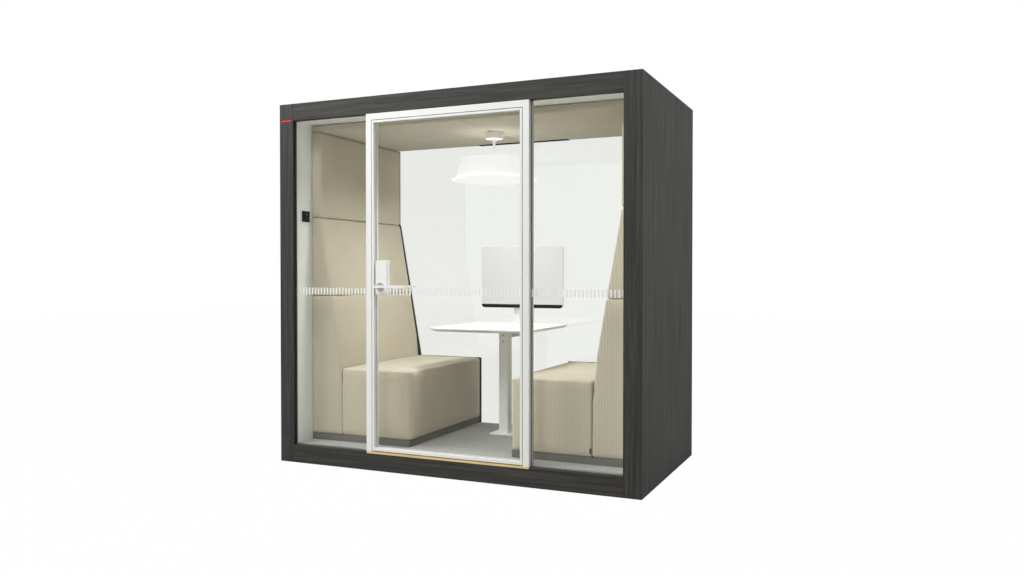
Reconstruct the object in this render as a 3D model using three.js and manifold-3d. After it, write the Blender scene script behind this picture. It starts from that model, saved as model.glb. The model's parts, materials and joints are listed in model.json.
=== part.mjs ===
// Acoustic meeting pod for four: a laminate casing, a glazed front with a pivoted door, a glazed rear,
// two upholstered benches, a pedestal table with a display, a pendant lamp and an extract fan in the roof.
// Millimetres, +Z up. The origin is on the floor under the middle of the casing and the door faces -Y.
import * as THREE from "three";
import { mergeVertices } from "three/addons/utils/BufferGeometryUtils.js";
import Module from "manifold-3d";

const wasm = await Module();
wasm.setup();

// Casing
const podWidth = 2400;
const podDepth = 1250;
const podHeight = 2300;
const stileWidth = 105;
const bottomRailHeight = 112;
const topRailHeight = 108;
const fasciaThickness = 31;
const wallThickness = 92;
const liningThickness = 14;
const carpetThickness = 8;
const roofThickness = 24;
const fit = 0.4;

// Glazing
const paneThickness = 10;
const paneOverlap = 14;
const channelFace = 8;
const channelDepth = 14;

// Door frame, leaf and lock
const doorFrameWidth = 1086;
const jambFace = 38;
const jambDepth = 70;
const stopFace = 8;
const thresholdHeight = 13;
const thresholdRise = 6;
const leafGap = 4;
const leafDepth = 53;
const leafFace = 13;
const leafBottomFace = 18;
const leafBottomGap = 6;
const leafGlassThickness = 12;
const leafGlassSetback = 20;
const glassRebate = 8;
const stopClearance = 3;
const pivotInset = 7;
const pivotRadius = 4;
const pivotReach = 9;
const lockWidth = 76;
const lockHeight = 208;
const lockThickness = 44;
const lockBelowLever = 47;
const lockEdgeGap = 12;
const lockFrontSetback = 2;
const leverHeight = 1133;
const leverOffset = 34;
const leverTail = 24;
const leverLength = 200;
const leverBarHeight = 15;
const leverBarDepth = 9;
const leverStandoff = 48;
const leverNeckRadius = 9;
const roseRadius = 26;
const roseThickness = 6;
const boltHeight = 18;
const boltDepth = 11;
const boltThrow = 3.2;
const boltBody = 60;
const strikeHeight = 90;
const strikeThickness = 2;
const strikeWidth = 24;

// Upholstery and benches
const benchFront = 190;
const padThickness = 68;
const wallPadBottom = 1583;
const backSeam = 1070;
const backLean = 10;
const seatTop = 603;
const seatDepth = 507;
const seatBottom = 162;
const seatCrown = 7;
const seatCornerRadius = 30;
const padCornerRadius = 18;
const padEdge = 11;
const padPuff = 5;
const rearCornerRadius = 6;
const ceilingPadThickness = 44;
const endBoardThickness = 12;
const endBoardReveal = 5;
const endBoardTrim = 2;
const endBoardInset = 6;

// Ventilation
const ventLength = 690;
const ventDepth = 50;
const ventPlate = 12;
const ventBars = 26;
const ventBorder = 5;
const fanRearSetback = 210;
const fanSize = 150;
const fanDepth = 40;
const fanBoreRadius = 66;
const fanHubRadius = 24;
const fanAxleRadius = 4;
const fanSpokeWidth = 7;
const fanSpokeHeight = 6;
const fanCrossBars = 2;
const fanBlades = 7;
const bladeThickness = 3;
const bladeRise = 18;
const bladeTipGap = 3;

// Table and display
const tableHeight = 740;
const tableWidth = 720;
const tableFront = 405;
const tableRearGap = 12;
const tableThickness = 22;
const tableEdge = 9;
const tableBevelRun = 26;
const tableCornerRadius = 92;
const columnSize = 70;
const columnSetback = 845;
const columnCornerRadius = 8;
const footWidth = 170;
const footThickness = 7;
const beamWidth = 58;
const beamHeight = 62;
const beamRearGap = 60;
const displayWidth = 628;
const displayHeight = 438;
const displayLift = 110;
const displayThickness = 26;
const displayCornerRadius = 24;
const displaySetback = 28;
const chinHeight = 25;
const chinStep = 2;
const mastWidth = 143;
const mastThickness = 14;
const mastRise = 210;

// Lamp
const canopyRadius = 59;
const canopyHeight = 44;
const stemRadius = 8.5;
const shadeTopDrop = 175;
const shadeHeight = 126;
const shadeTopRadius = 214;
const shadeBottomRadius = 256;
const shadeWall = 4;
const rimRadius = 281;
const rimHeight = 13;
const diffuserThickness = 5;
const diffuserLip = 10;
const ledRadius = 42;
const ledHeight = 12;

// Controls
const controlSize = 70;
const controlThickness = 9;
const controlSetback = 124;
const controlHeight = 1586;
const keyWidth = 40;
const keyHeight = 20;
const keyProud = 3;
const keyTravel = 1.5;
const keyGap = 6;
const keyPocket = 6;
const statusWidth = 78;
const statusHeight = 8;
const statusThickness = 5;
const statusProud = 1;
const statusDrop = 104;

// Places worked out from the sizes above
const halfWidth = podWidth / 2;
const yFront = -podDepth / 2;
const yRear = podDepth / 2;
const openingHalf = halfWidth - stileWidth;
const wallInner = halfWidth - wallThickness;
const liningFace = wallInner - liningThickness;
const railTop = podHeight - topRailHeight;
const floorTop = bottomRailHeight + carpetThickness;
const yPaneFront = yFront + fasciaThickness;
const yPaneInner = yPaneFront + paneThickness;
const yRearPaneOuter = yRear - fasciaThickness;
const yRearPaneInner = yRearPaneOuter - paneThickness;
const roofBottom = podHeight - roofThickness;
const ceilingBottom = railTop - ceilingPadThickness;
const yBench = yFront + benchFront;
const yBenchEnd = yRearPaneInner - endBoardThickness - 2 * fit;
const frameHalf = doorFrameWidth / 2;
const jambInner = frameHalf - jambFace;
const thresholdTop = bottomRailHeight + thresholdRise;
const headBottom = railTop - jambFace;
const leafHalf = jambInner - leafGap;
const leafBottom = thresholdTop + leafBottomGap;
const leafTop = headBottom - leafGap;
const pivotX = leafHalf - pivotInset;
const pivotY = yFront + pivotInset;

// Finishes
const finish = (color, roughness, metalness = 0, opacity = 1) =>
  new THREE.MeshStandardMaterial({ color, roughness, metalness, opacity, transparent: opacity < 1 });
const laminate = finish("#4b4a46", 0.55);
const whiteBoard = finish("#e4e2da", 0.6);
const whiteMetal = finish("#f0f0ee", 0.35, 0.1);
const greyMetal = finish("#c9cac7", 0.4, 0.8);
const steel = finish("#b5b7b8", 0.3, 1);
const oak = finish("#dcc791", 0.5);
const glass = finish("#eef2f1", 0.03, 0, 0.2);
const fabric = finish("#b8ad8e", 0.95);
const carpetPile = finish("#93938f", 1);
const darkBoard = finish("#45413a", 0.7);
const blackPlastic = finish("#1d1c1b", 0.45);
const opal = finish("#f8f7f2", 0.5);
const greyShell = finish("#8f908e", 0.5);
const redLens = finish("#e01522", 0.25);

const pod = new THREE.Group();

function addPart(name, geometry, material) {
  const part = new THREE.Mesh(geometry, material);
  part.name = name;
  pod.add(part);
  return part;
}

// Shared vertices only, which is what a solid needs.
function welded(geometry) {
  const bare = new THREE.BufferGeometry();
  const source = geometry.index ? geometry.toNonIndexed() : geometry;
  bare.setAttribute("position", source.getAttribute("position").clone());
  return mergeVertices(bare, 1e-4);
}

function toManifold(geometry) {
  const shared = welded(geometry);
  const vertProperties = shared.getAttribute("position").array;
  const triVerts = new Uint32Array(shared.index.array);
  return new wasm.Manifold(new wasm.Mesh({ numProp: 3, vertProperties, triVerts }));
}

function fromManifold(solid) {
  const mesh = solid.getMesh();
  const geometry = new THREE.BufferGeometry();
  geometry.setAttribute("position", new THREE.BufferAttribute(new Float32Array(mesh.vertProperties), 3));
  geometry.setIndex(new THREE.BufferAttribute(new Uint32Array(mesh.triVerts), 1));
  return geometry;
}

function cut(body, ...tools) {
  return fromManifold(tools.reduce((solid, tool) => solid.subtract(toManifold(tool)), toManifold(body)));
}

function join(body, ...others) {
  return fromManifold(others.reduce((solid, other) => solid.add(toManifold(other)), toManifold(body)));
}

function block([x0, x1], [y0, y1], [z0, z1]) {
  const box = new THREE.BoxGeometry(x1 - x0, y1 - y0, z1 - z0);
  return box.translate((x0 + x1) / 2, (y0 + y1) / 2, (z0 + z1) / 2);
}

function outline(points) {
  return new THREE.Shape(points.map(([a, b]) => new THREE.Vector2(a, b)));
}

function roundedOutline([a0, a1], [b0, b1], radius) {
  const shape = new THREE.Shape();
  shape.moveTo(a0 + radius, b0);
  shape.lineTo(a1 - radius, b0);
  shape.absarc(a1 - radius, b0 + radius, radius, -Math.PI / 2, 0);
  shape.lineTo(a1, b1 - radius);
  shape.absarc(a1 - radius, b1 - radius, radius, 0, Math.PI / 2);
  shape.lineTo(a0 + radius, b1);
  shape.absarc(a0 + radius, b1 - radius, radius, Math.PI / 2, Math.PI);
  shape.lineTo(a0, b0 + radius);
  shape.absarc(a0 + radius, b0 + radius, radius, Math.PI, Math.PI * 1.5);
  return shape;
}

function extrude(shape, depth, curveSegments = 6) {
  return new THREE.ExtrudeGeometry(shape, { depth, curveSegments, bevelEnabled: false });
}

// An (x, y) outline raised from z0 to z1.
function raised(shape, [z0, z1], curveSegments) {
  return extrude(shape, z1 - z0, curveSegments).translate(0, 0, z0);
}

// An (x, z) outline carried from y0 to y1.
function carried(shape, [y0, y1], curveSegments) {
  return extrude(shape, y1 - y0, curveSegments).rotateX(Math.PI / 2).translate(0, y1, 0);
}

// A round bar along Z, or turned to lie along Y.
function barZ(radius, [x, y], [z0, z1], sides = 24) {
  const bar = new THREE.CylinderGeometry(radius, radius, z1 - z0, sides).rotateX(Math.PI / 2);
  return bar.translate(x, y, (z0 + z1) / 2);
}

function barY(radius, [x, z], [y0, y1], sides = 24) {
  return new THREE.CylinderGeometry(radius, radius, y1 - y0, sides).translate(x, (y0 + y1) / 2, z);
}

// A lathe profile of [radius, height] pairs turned about Z.
function turned(profile, [x, y], sides = 48) {
  const points = profile.map(([radius, height]) => new THREE.Vector2(radius, height));
  return new THREE.LatheGeometry(points, sides).rotateX(Math.PI / 2).translate(x, y, 0);
}

// Both sides of the pod mirror each other: -1 is the left, +1 the right.
const sides = [
  { label: "left", sign: -1 },
  { label: "right", sign: 1 },
];
const mirrored = (sign, a, b) => (sign < 0 ? [-b, -a] : [a, b]);
const grown = ([a, b], by = fit) => [a - by, b + by];
const ordered = (a, b) => (a < b ? [a, b] : [b, a]);

// Casing: floor, fascia, side walls, roof and linings
const deckX = [-wallInner, wallInner];
const shellY = [yPaneFront, yRearPaneOuter];
const jambY = [yFront, yFront + jambDepth];
const thresholdZ = [thresholdTop - thresholdHeight, thresholdTop];
const thresholdSeat = block(
  [-frameHalf - fit, frameHalf + fit],
  [yFront - fit, jambY[1] + fit],
  [thresholdZ[0] - fit, Math.max(thresholdTop, floorTop) + fit],
);
const paneFoot = bottomRailHeight - paneOverlap;
const rebateZ = [paneFoot - fit, bottomRailHeight + fit];
const floorSlab = block(deckX, shellY, [0, bottomRailHeight]);
const frontRebate = block([-halfWidth, halfWidth], [yPaneFront - fit, yPaneInner], rebateZ);
const rearRebate = block([-halfWidth, halfWidth], [yRearPaneInner, yRearPaneOuter + fit], rebateZ);
addPart("floor_cassette", cut(floorSlab, frontRebate, rearRebate, thresholdSeat), darkBoard);

const carpetX = [-liningFace + fit, liningFace - fit];
const carpetY = [yPaneInner + channelDepth + fit, yRearPaneInner - fit];
const carpetSheet = block(carpetX, carpetY, [bottomRailHeight, floorTop]);
addPart("carpet", cut(carpetSheet, thresholdSeat), carpetPile);

const lensMargin = (stileWidth - statusWidth) / 2;
const lensX = [-halfWidth + lensMargin, -openingHalf - lensMargin];
const lensTop = podHeight - statusDrop;
const lensZ = [lensTop - statusHeight, lensTop];
const lensBack = yFront + statusThickness - statusProud;
const lensPocket = block(
  [lensX[0] - fit, lensX[1] + fit],
  [yFront - fit, lensBack + fit],
  [lensZ[0] - fit, lensZ[1] + fit],
);
const railX = [-openingHalf, openingHalf];
const frontY = [yFront, yPaneFront];
const rearY = [yRearPaneOuter, yRear];
const bottomRailZ = [0, bottomRailHeight];
const topRailZ = [railTop, podHeight];
addPart("front_bottom_rail", cut(block(railX, frontY, bottomRailZ), thresholdSeat), laminate);
addPart("front_top_rail", block(railX, frontY, topRailZ), laminate);
const rearBoard = block([-halfWidth, halfWidth], rearY, [0, podHeight]);
addPart("rear_frame", cut(rearBoard, block(railX, grown(rearY), [bottomRailHeight, railTop])), laminate);
for (const { label, sign } of sides) {
  const stileX = mirrored(sign, openingHalf, halfWidth);
  const frontStile = block(stileX, frontY, [0, podHeight]);
  addPart(`front_stile_${label}`, sign < 0 ? cut(frontStile, lensPocket) : frontStile, laminate);
  const wallX = mirrored(sign, wallInner, halfWidth);
  addPart(`side_wall_${label}`, block(wallX, shellY, [0, podHeight]), laminate);
}
const lensOutline = roundedOutline(lensX, lensZ, statusHeight / 3);
addPart("status_light", carried(lensOutline, [yFront - statusProud, lensBack], 3), redLens);

const fanAt = [0, yRear - fanRearSetback];
const roofZ = [roofBottom, podHeight];
const outlet = barZ(fanBoreRadius, fanAt, grown(roofZ), 32);
addPart("roof_panel", cut(block(deckX, shellY, roofZ), outlet), laminate);

const liningY = [yPaneInner, yRearPaneInner - fit];
const ventX = [-ventLength / 2, ventLength / 2];
const ventY = [liningY[1] - ventDepth, liningY[1]];
const headZ = [railTop, railTop + liningThickness];
const airSlot = block(
  [ventX[0] + ventBorder, ventX[1] - ventBorder],
  [ventY[0] + ventBorder, ventY[1] - ventBorder],
  [headZ[0] - fit, headZ[1] + fit],
);
addPart("head_lining", cut(block(deckX, liningY, headZ), airSlot), whiteBoard);
const sideLiningZ = [bottomRailHeight, railTop];

// Controls on the left lining: a plate with two push keys that travel into their pockets
const controlY = [yFront + controlSetback - controlSize / 2, yFront + controlSetback + controlSize / 2];
const controlZ = [controlHeight - controlSize / 2, controlHeight + controlSize / 2];
const controlX = [-liningFace, -liningFace + controlThickness];
const controlMiddle = yFront + controlSetback;
const keyY = [controlMiddle - keyWidth / 2, controlMiddle + keyWidth / 2];
const keyRest = controlX[1] - keyPocket + keyTravel + fit;
const keys = [
  { name: "light_key", z: [controlHeight + keyGap / 2, controlHeight + keyGap / 2 + keyHeight] },
  { name: "fan_key", z: [controlHeight - keyGap / 2 - keyHeight, controlHeight - keyGap / 2] },
];
const keyPockets = keys.map(({ z }) =>
  block(
    [controlX[1] - keyPocket, controlX[1] + fit],
    [keyY[0] - fit, keyY[1] + fit],
    [z[0] - fit, z[1] + fit],
  ),
);
addPart("control_plate", cut(block(controlX, controlY, controlZ), ...keyPockets), blackPlastic);
for (const { name, z } of keys) {
  addPart(name, block([keyRest, controlX[1] + keyProud], keyY, z), greyShell);
}
for (const { label, sign } of sides) {
  const liningX = mirrored(sign, liningFace, wallInner);
  addPart(`side_lining_${label}`, block(liningX, liningY, sideLiningZ), whiteBoard);
}

// Glazing: two front panes beside the door, one rear pane, and the slim channels that hold the front ones
const paneZ = [paneFoot, railTop + paneOverlap];
const paneEdge = wallInner - fit;
for (const { label, sign } of sides) {
  const paneX = mirrored(sign, frameHalf + fit, paneEdge);
  addPart(`front_pane_${label}`, block(paneX, [yPaneFront, yPaneInner - fit], paneZ), glass);
  const channelY = [yPaneInner, yPaneInner + channelDepth];
  const sill = block(
    mirrored(sign, frameHalf + fit, liningFace - fit),
    channelY,
    [bottomRailHeight, bottomRailHeight + channelFace],
  );
  const uprightX = mirrored(sign, frameHalf + fit, frameHalf + fit + channelFace);
  const upright = block(uprightX, channelY, sideLiningZ);
  addPart(`pane_channel_${label}`, join(sill, upright), greyMetal);
}
addPart("rear_pane", block([-paneEdge, paneEdge], [yRearPaneInner + fit, yRearPaneOuter], paneZ), glass);

// Door frame: jambs with a stop behind the leaf, a head, and an oak threshold that the jambs stand on
const stopFront = yFront + leafDepth + stopClearance;
const jambZ = [thresholdTop, railTop];
const strikeX = [-jambInner - strikeThickness, -jambInner];
const strikeY = [stopFront - stopClearance - strikeWidth, stopFront - stopClearance];
const strikeZ = [leverHeight - strikeHeight / 2, leverHeight + strikeHeight / 2];
const strikeSeat = block([strikeX[0] - fit, strikeX[1] + fit], grown(strikeY), grown(strikeZ));
for (const { label, sign } of sides) {
  const post = block(mirrored(sign, jambInner, frameHalf), jambY, jambZ);
  const stop = block(mirrored(sign, jambInner - stopFace, frameHalf), [stopFront, jambY[1]], jambZ);
  const jamb = join(post, stop);
  addPart(`door_jamb_${label}`, sign < 0 ? cut(jamb, strikeSeat) : jamb, whiteMetal);
}
addPart("strike_plate", block(strikeX, strikeY, strikeZ), steel);
const headX = [-jambInner, jambInner];
const stopX = [-jambInner + stopFace + fit, jambInner - stopFace - fit];
const pivotHole = pivotRadius + fit;
const headBar = block(headX, [yFront, stopFront - fit], [headBottom, railTop]);
const headStop = block(stopX, [yFront, jambY[1]], [headBottom - stopFace, railTop]);
const headFront = block(headX, [yFront - fit, stopFront], [headBottom - stopFace - fit, headBottom]);
addPart("door_head", cut(join(headBar, headStop), headFront), whiteMetal);
addPart("threshold", block([-frameHalf, frameHalf], jambY, thresholdZ), oak);

// Pivot pins stand in the head and the threshold and reach into the leaf
const upperPin = [leafTop - pivotReach, headBottom];
const lowerPin = [thresholdTop, leafBottom + pivotReach];
addPart("upper_pivot_pin", barZ(pivotRadius, [pivotX, pivotY], upperPin), steel);
addPart("lower_pivot_pin", barZ(pivotRadius, [pivotX, pivotY], lowerPin), steel);

// Leaf: an aluminium frame grooved for the glass, the glass with a window for the lock, and the lock
const leafX = [-leafHalf, leafHalf];
const leafY = [yFront, yFront + leafDepth];
const leafZ = [leafBottom, leafTop];
const sightX = [-leafHalf + leafFace, leafHalf - leafFace];
const sightZ = [leafBottom + leafBottomFace, leafTop - leafFace];
const glassX = [sightX[0] - glassRebate, sightX[1] + glassRebate];
const glassY = [yFront + leafGlassSetback, yFront + leafGlassSetback + leafGlassThickness];
const glassZ = [sightZ[0] - glassRebate, sightZ[1] + glassRebate];
const pinHoles = [upperPin, lowerPin].map((z) => barZ(pivotHole, [pivotX, pivotY], grown(z)));
const boltX = [-leafHalf - boltThrow, -leafHalf - boltThrow + boltBody];
const boltY = [yFront + leafDepth - boltDepth - glassRebate, yFront + leafDepth - glassRebate];
const boltZ = [leverHeight - boltHeight / 2, leverHeight + boltHeight / 2];
const boltHole = block([-leafHalf - fit, boltX[1] + boltDepth], grown(boltY), grown(boltZ));
const leafBar = block(leafX, leafY, leafZ);
const sight = block(sightX, grown(leafY), sightZ);
const groove = block(grown(glassX), grown(glassY), grown(glassZ));
addPart("leaf_frame", cut(leafBar, sight, groove, boltHole, ...pinHoles), whiteMetal);

const lockX = [sightX[0] + lockEdgeGap, sightX[0] + lockEdgeGap + lockWidth];
const lockY = [yFront + lockFrontSetback, yFront + lockFrontSetback + lockThickness];
const lockZ = [leverHeight - lockBelowLever, leverHeight - lockBelowLever + lockHeight];
const lockWindow = block(grown(lockX), grown(glassY), grown(lockZ));
addPart("leaf_glass", cut(block(glassX, glassY, glassZ), lockWindow), glass);

const leverX = lockX[0] + leverOffset;
const leverAt = [leverX, leverHeight];
const spindleRadius = leverNeckRadius / 2;
const spindleHole = barY(spindleRadius + fit, leverAt, grown(lockY));
const lockOutline = roundedOutline(lockX, lockZ, lockEdgeGap / 3);
addPart("lock_case", cut(carried(lockOutline, lockY, 3), boltHole, spindleHole), whiteMetal);
const boltShape = outline([
  [boltX[0], boltY[0]],
  [boltX[1], boltY[0]],
  [boltX[1], boltY[1]],
  [boltX[0] + boltThrow, boltY[1]],
]);
const spindlePassage = barY(spindleRadius + boltDepth, leverAt, grown(boltY, boltDepth));
addPart("latch_bolt", cut(raised(boltShape, boltZ), spindlePassage), steel);

// Levers: a round rose, a neck and a flat bar; the outer one carries the spindle through the lock
function lever(direction, face) {
  const from = (near, far) => ordered(face + direction * near, face + direction * far);
  const rose = barY(roseRadius, leverAt, from(fit, roseThickness), 32);
  const neck = barY(leverNeckRadius, leverAt, from(fit, leverStandoff));
  const barEnds = from(leverStandoff - leverBarDepth, leverStandoff);
  const barX = [leverX - leverTail, leverX + leverLength];
  const barZs = [leverHeight - leverBarHeight / 2, leverHeight + leverBarHeight / 2];
  const bar = carried(roundedOutline(barX, barZs, leverBarHeight / 3), barEnds, 4);
  return join(rose, neck, bar);
}
const spindle = barY(spindleRadius, leverAt, [lockY[0] - roseThickness, lockY[1] - fit]);
addPart("outside_lever", join(lever(-1, lockY[0]), spindle), whiteMetal);
addPart("inside_lever", lever(1, lockY[1]), whiteMetal);

// Upholstery: each pad is lofted from rounded outlines that swell between its rounded edges.
// u runs from the lining face towards the middle of the pod.
const lean = Math.tan(THREE.MathUtils.degToRad(backLean));
const backFaceAt = (z) => padThickness + (wallPadBottom - z) * lean;

function padRing(reach, inset, swell, cornerRadius) {
  const y0 = yBench + inset;
  const y1 = yBenchEnd - inset;
  const u1 = reach - inset;
  const points = [];
  const wallSteps = 4;
  for (let i = 0; i < wallSteps; i += 1) {
    const t = i / wallSteps;
    points.push([fit + t * (u1 - cornerRadius - fit), y0 - swell * Math.sin(Math.PI * t)]);
  }
  const arcSteps = 5;
  for (let i = 0; i <= arcSteps; i += 1) {
    const a = -Math.PI / 2 + (i / arcSteps) * (Math.PI / 2);
    const u = u1 - cornerRadius + cornerRadius * Math.cos(a);
    points.push([u, y0 + cornerRadius + cornerRadius * Math.sin(a)]);
  }
  const faceSteps = 6;
  for (let i = 1; i < faceSteps; i += 1) {
    const t = i / faceSteps;
    const y = y0 + cornerRadius + t * (y1 - rearCornerRadius - y0 - cornerRadius);
    points.push([u1 + swell * Math.sin(Math.PI * t), y]);
  }
  points.push([u1, y1 - rearCornerRadius], [u1 - rearCornerRadius, y1], [fit, y1]);
  return points;
}

function padGeometry({ sign, z, reachAt, cornerRadius, crown }) {
  const [z0, z1] = z;
  const edgeSteps = 3;
  const faceSteps = 3;
  const levels = [];
  for (let i = 0; i <= edgeSteps; i += 1) {
    const a = (i / edgeSteps) * (Math.PI / 2);
    levels.push({ z: z0 + padEdge * (1 - Math.cos(a)), inset: padEdge * (1 - Math.sin(a)) });
  }
  for (let i = 1; i < faceSteps; i += 1) {
    levels.push({ z: z0 + padEdge + (i / faceSteps) * (z1 - z0 - 2 * padEdge), inset: 0 });
  }
  for (let i = edgeSteps; i >= 0; i -= 1) {
    const a = (i / edgeSteps) * (Math.PI / 2);
    levels.push({ z: z1 - padEdge * (1 - Math.cos(a)), inset: padEdge * (1 - Math.sin(a)) });
  }
  const place = ([u, y], height) => [sign * (liningFace - u), y, height];
  const rings = levels.map((level) => {
    const swell = padPuff * Math.sin((Math.PI * (level.z - z0)) / (z1 - z0));
    return padRing(reachAt(level.z), level.inset, swell, cornerRadius).map((point) => place(point, level.z));
  });
  const top = padRing(reachAt(z1), padEdge, 0, cornerRadius);
  const middle = [reachAt(z1) / 2, (yBench + yBenchEnd) / 2];
  const capSteps = crown > 0 ? 3 : 0;
  for (let i = 1; i <= capSteps; i += 1) {
    const s = 1 - i / (capSteps + 1);
    const shrink = ([u, y]) => [middle[0] + s * (u - middle[0]), middle[1] + s * (y - middle[1])];
    rings.push(top.map((point) => place(shrink(point), z1 + crown * (1 - s * s))));
  }
  const foot = place([reachAt(z0) / 2, middle[1]], z0);
  return lofted(rings, foot, place(middle, z1 + crown));
}

// Rings joined by quads and closed by a fan at each end, turned so that its faces point outwards.
function lofted(rings, foot, peak) {
  const count = rings[0].length;
  const positions = [...rings.flat(), foot, peak];
  const footIndex = positions.length - 2;
  const peakIndex = positions.length - 1;
  const lastRing = (rings.length - 1) * count;
  const index = [];
  for (let i = 0; i < count; i += 1) {
    const j = (i + 1) % count;
    for (let r = 0; r + 1 < rings.length; r += 1) {
      const low = r * count;
      const high = low + count;
      index.push(low + i, low + j, high + j, low + i, high + j, high + i);
    }
    index.push(footIndex, j, i, peakIndex, lastRing + i, lastRing + j);
  }
  const geometry = new THREE.BufferGeometry();
  geometry.setAttribute("position", new THREE.BufferAttribute(new Float32Array(positions.flat()), 3));
  geometry.setIndex(signedVolume(positions, index) < 0 ? index.reverse() : index);
  return geometry;
}

function signedVolume(positions, index) {
  const [a, b, c] = [new THREE.Vector3(), new THREE.Vector3(), new THREE.Vector3()];
  let volume = 0;
  for (let i = 0; i < index.length; i += 3) {
    a.fromArray(positions[index[i]]);
    b.fromArray(positions[index[i + 1]]);
    c.fromArray(positions[index[i + 2]]);
    volume += a.dot(b.cross(c)) / 6;
  }
  return volume;
}

// Benches: wall pad, two-part sloping back, seat, plinth and the dark board that ends them at the rear glass
const seatBack = backFaceAt(seatTop);
const seatFront = seatBack + seatDepth;
const lowerBackAt = (z) => (z < seatTop ? seatBack : backFaceAt(z));
const wallReach = () => padThickness;
const seatReach = () => seatFront;
for (const { label, sign } of sides) {
  const pad = (z, reachAt, cornerRadius = padCornerRadius, crown = 0) =>
    padGeometry({ sign, z, reachAt, cornerRadius, crown });
  addPart(`wall_pad_${label}`, pad([wallPadBottom + fit, ceilingBottom - fit], wallReach), fabric);
  addPart(`back_pad_upper_${label}`, pad([backSeam + fit, wallPadBottom - fit], backFaceAt), fabric);
  const lowerBack = pad([seatBottom, backSeam - fit], lowerBackAt);
  const seatSpan = block(
    mirrored(sign, liningFace - seatFront, liningFace - seatBack),
    grown([yBench, yBenchEnd], seatDepth),
    grown([seatBottom, seatTop]),
  );
  addPart(`back_pad_lower_${label}`, cut(lowerBack, seatSpan), fabric);
  const seatBlock = pad([seatBottom, seatTop - seatCrown], seatReach, seatCornerRadius, seatCrown);
  const backSpan = block(
    mirrored(sign, liningFace - seatBack - fit, liningFace + fit),
    grown([yBench, yBenchEnd], seatDepth),
    grown([seatBottom, seatTop]),
  );
  addPart(`seat_${label}`, cut(seatBlock, backSpan), fabric);
  const plinthX = mirrored(sign, liningFace - seatFront + padPuff, liningFace - fit);
  const plinthY = [yBench + padPuff, yBenchEnd];
  addPart(`plinth_${label}`, block(plinthX, plinthY, [floorTop, seatBottom]), darkBoard);
  const boardShelf = seatTop - seatCrown + endBoardTrim;
  const boardPoints = [
    [fit, floorTop],
    [seatFront + endBoardReveal, floorTop],
    [seatFront + endBoardReveal, boardShelf],
    [backFaceAt(boardShelf) + endBoardReveal, boardShelf],
    [padThickness, wallPadBottom],
    [padThickness - endBoardInset, wallPadBottom],
    [padThickness - endBoardInset, ceilingBottom - fit],
    [fit, ceilingBottom - fit],
  ].map(([u, z]) => [sign * (liningFace - u), z]);
  const boardOutline = outline(sign < 0 ? boardPoints : boardPoints.reverse());
  const boardY = [yBenchEnd + fit, yBenchEnd + fit + endBoardThickness];
  addPart(`end_board_${label}`, carried(boardOutline, boardY), darkBoard);
}
const ceilingX = [-liningFace + fit, liningFace - fit];
const notchY = [ventY[0] - fit, ventY[1] + ventDepth];
const ventNotch = block(grown(ventX), notchY, grown([ceilingBottom, railTop], ventDepth));
const ceilingProfile = roundedOutline(ceilingX, [yBench, liningY[1]], padEdge);
const ceilingPad = raised(ceilingProfile, [ceilingBottom, railTop], 2);
addPart("ceiling_pad", cut(ceilingPad, ventNotch), fabric);

// Extract grille in the rear edge of the ceiling: a black tray with narrow slots
const barPitch = (ventLength - 2 * ventBorder) / ventBars;
const grilleZ = [ceilingBottom, railTop];
const trayHollow = block(
  [ventX[0] + ventBorder, ventX[1] - ventBorder],
  [ventY[0] + ventBorder, ventY[1] - ventBorder],
  [grilleZ[0] + ventPlate, railTop + fit],
);
const slots = Array.from({ length: ventBars }, (_, i) => {
  const x = ventX[0] + ventBorder + (i + 0.5) * barPitch;
  const half = barPitch / 3;
  return block([x - half, x + half], grown(ventY, -ventBorder), [grilleZ[0] - fit, railTop]);
});
addPart("vent_grille", cut(block(ventX, ventY, grilleZ), trayHollow, ...slots), blackPlastic);

// Extract fan under the roof outlet: a square housing with a spoked motor seat, and a rotor on its axle
const fanZ = [roofBottom - fanDepth, roofBottom];
const rotorZ = [fanZ[0] + fanSpokeHeight + 2 * fit, fanZ[1] - 2 * fit];
const axleTop = rotorZ[1] - fanSpokeHeight;
const spokeZ = [fanZ[0], fanZ[0] + fanSpokeHeight];
const fanHalf = [-fanSize / 2, fanSize / 2];
const fanRing = cut(block(fanHalf, fanHalf, fanZ), barZ(fanBoreRadius, [0, 0], grown(fanZ), 32));
const spokeReach = [-fanBoreRadius - fanSpokeWidth, fanBoreRadius + fanSpokeWidth];
const crossBars = Array.from({ length: fanCrossBars }, (_, i) =>
  block(spokeReach, [-fanSpokeWidth / 2, fanSpokeWidth / 2], spokeZ).rotateZ((i * Math.PI) / fanCrossBars),
);
const motorSeat = barZ(fanHubRadius, [0, 0], spokeZ);
const axle = barZ(fanAxleRadius, [0, 0], [fanZ[0], axleTop]);
const fanHousing = join(fanRing, ...crossBars, motorSeat, axle);
addPart("fan_housing", fanHousing, blackPlastic).position.set(...fanAt, 0);

const bladeTip = fanBoreRadius - bladeTipGap;
const bladePitch = Math.atan2(bladeRise, fanHubRadius * 2);
const rotorMiddle = (rotorZ[0] + rotorZ[1]) / 2;
const blades = Array.from({ length: fanBlades }, (_, i) =>
  block([fanHubRadius / 2, bladeTip], [-bladeRise, bladeRise], [-bladeThickness / 2, bladeThickness / 2])
    .rotateX(bladePitch)
    .translate(0, 0, rotorMiddle)
    .rotateZ((i * 2 * Math.PI) / fanBlades),
);
const bladed = join(barZ(fanHubRadius, [0, 0], rotorZ), ...blades);
const sweep = barZ(bladeTip, [0, 0], rotorZ, 32);
const trimmed = fromManifold(toManifold(bladed).intersect(toManifold(sweep)));
const axleHole = barZ(fanAxleRadius + fit, [0, 0], [rotorZ[0] - fit, axleTop + fit]);
addPart("fan_rotor", cut(trimmed, axleHole), greyShell).position.set(...fanAt, 0);

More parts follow.
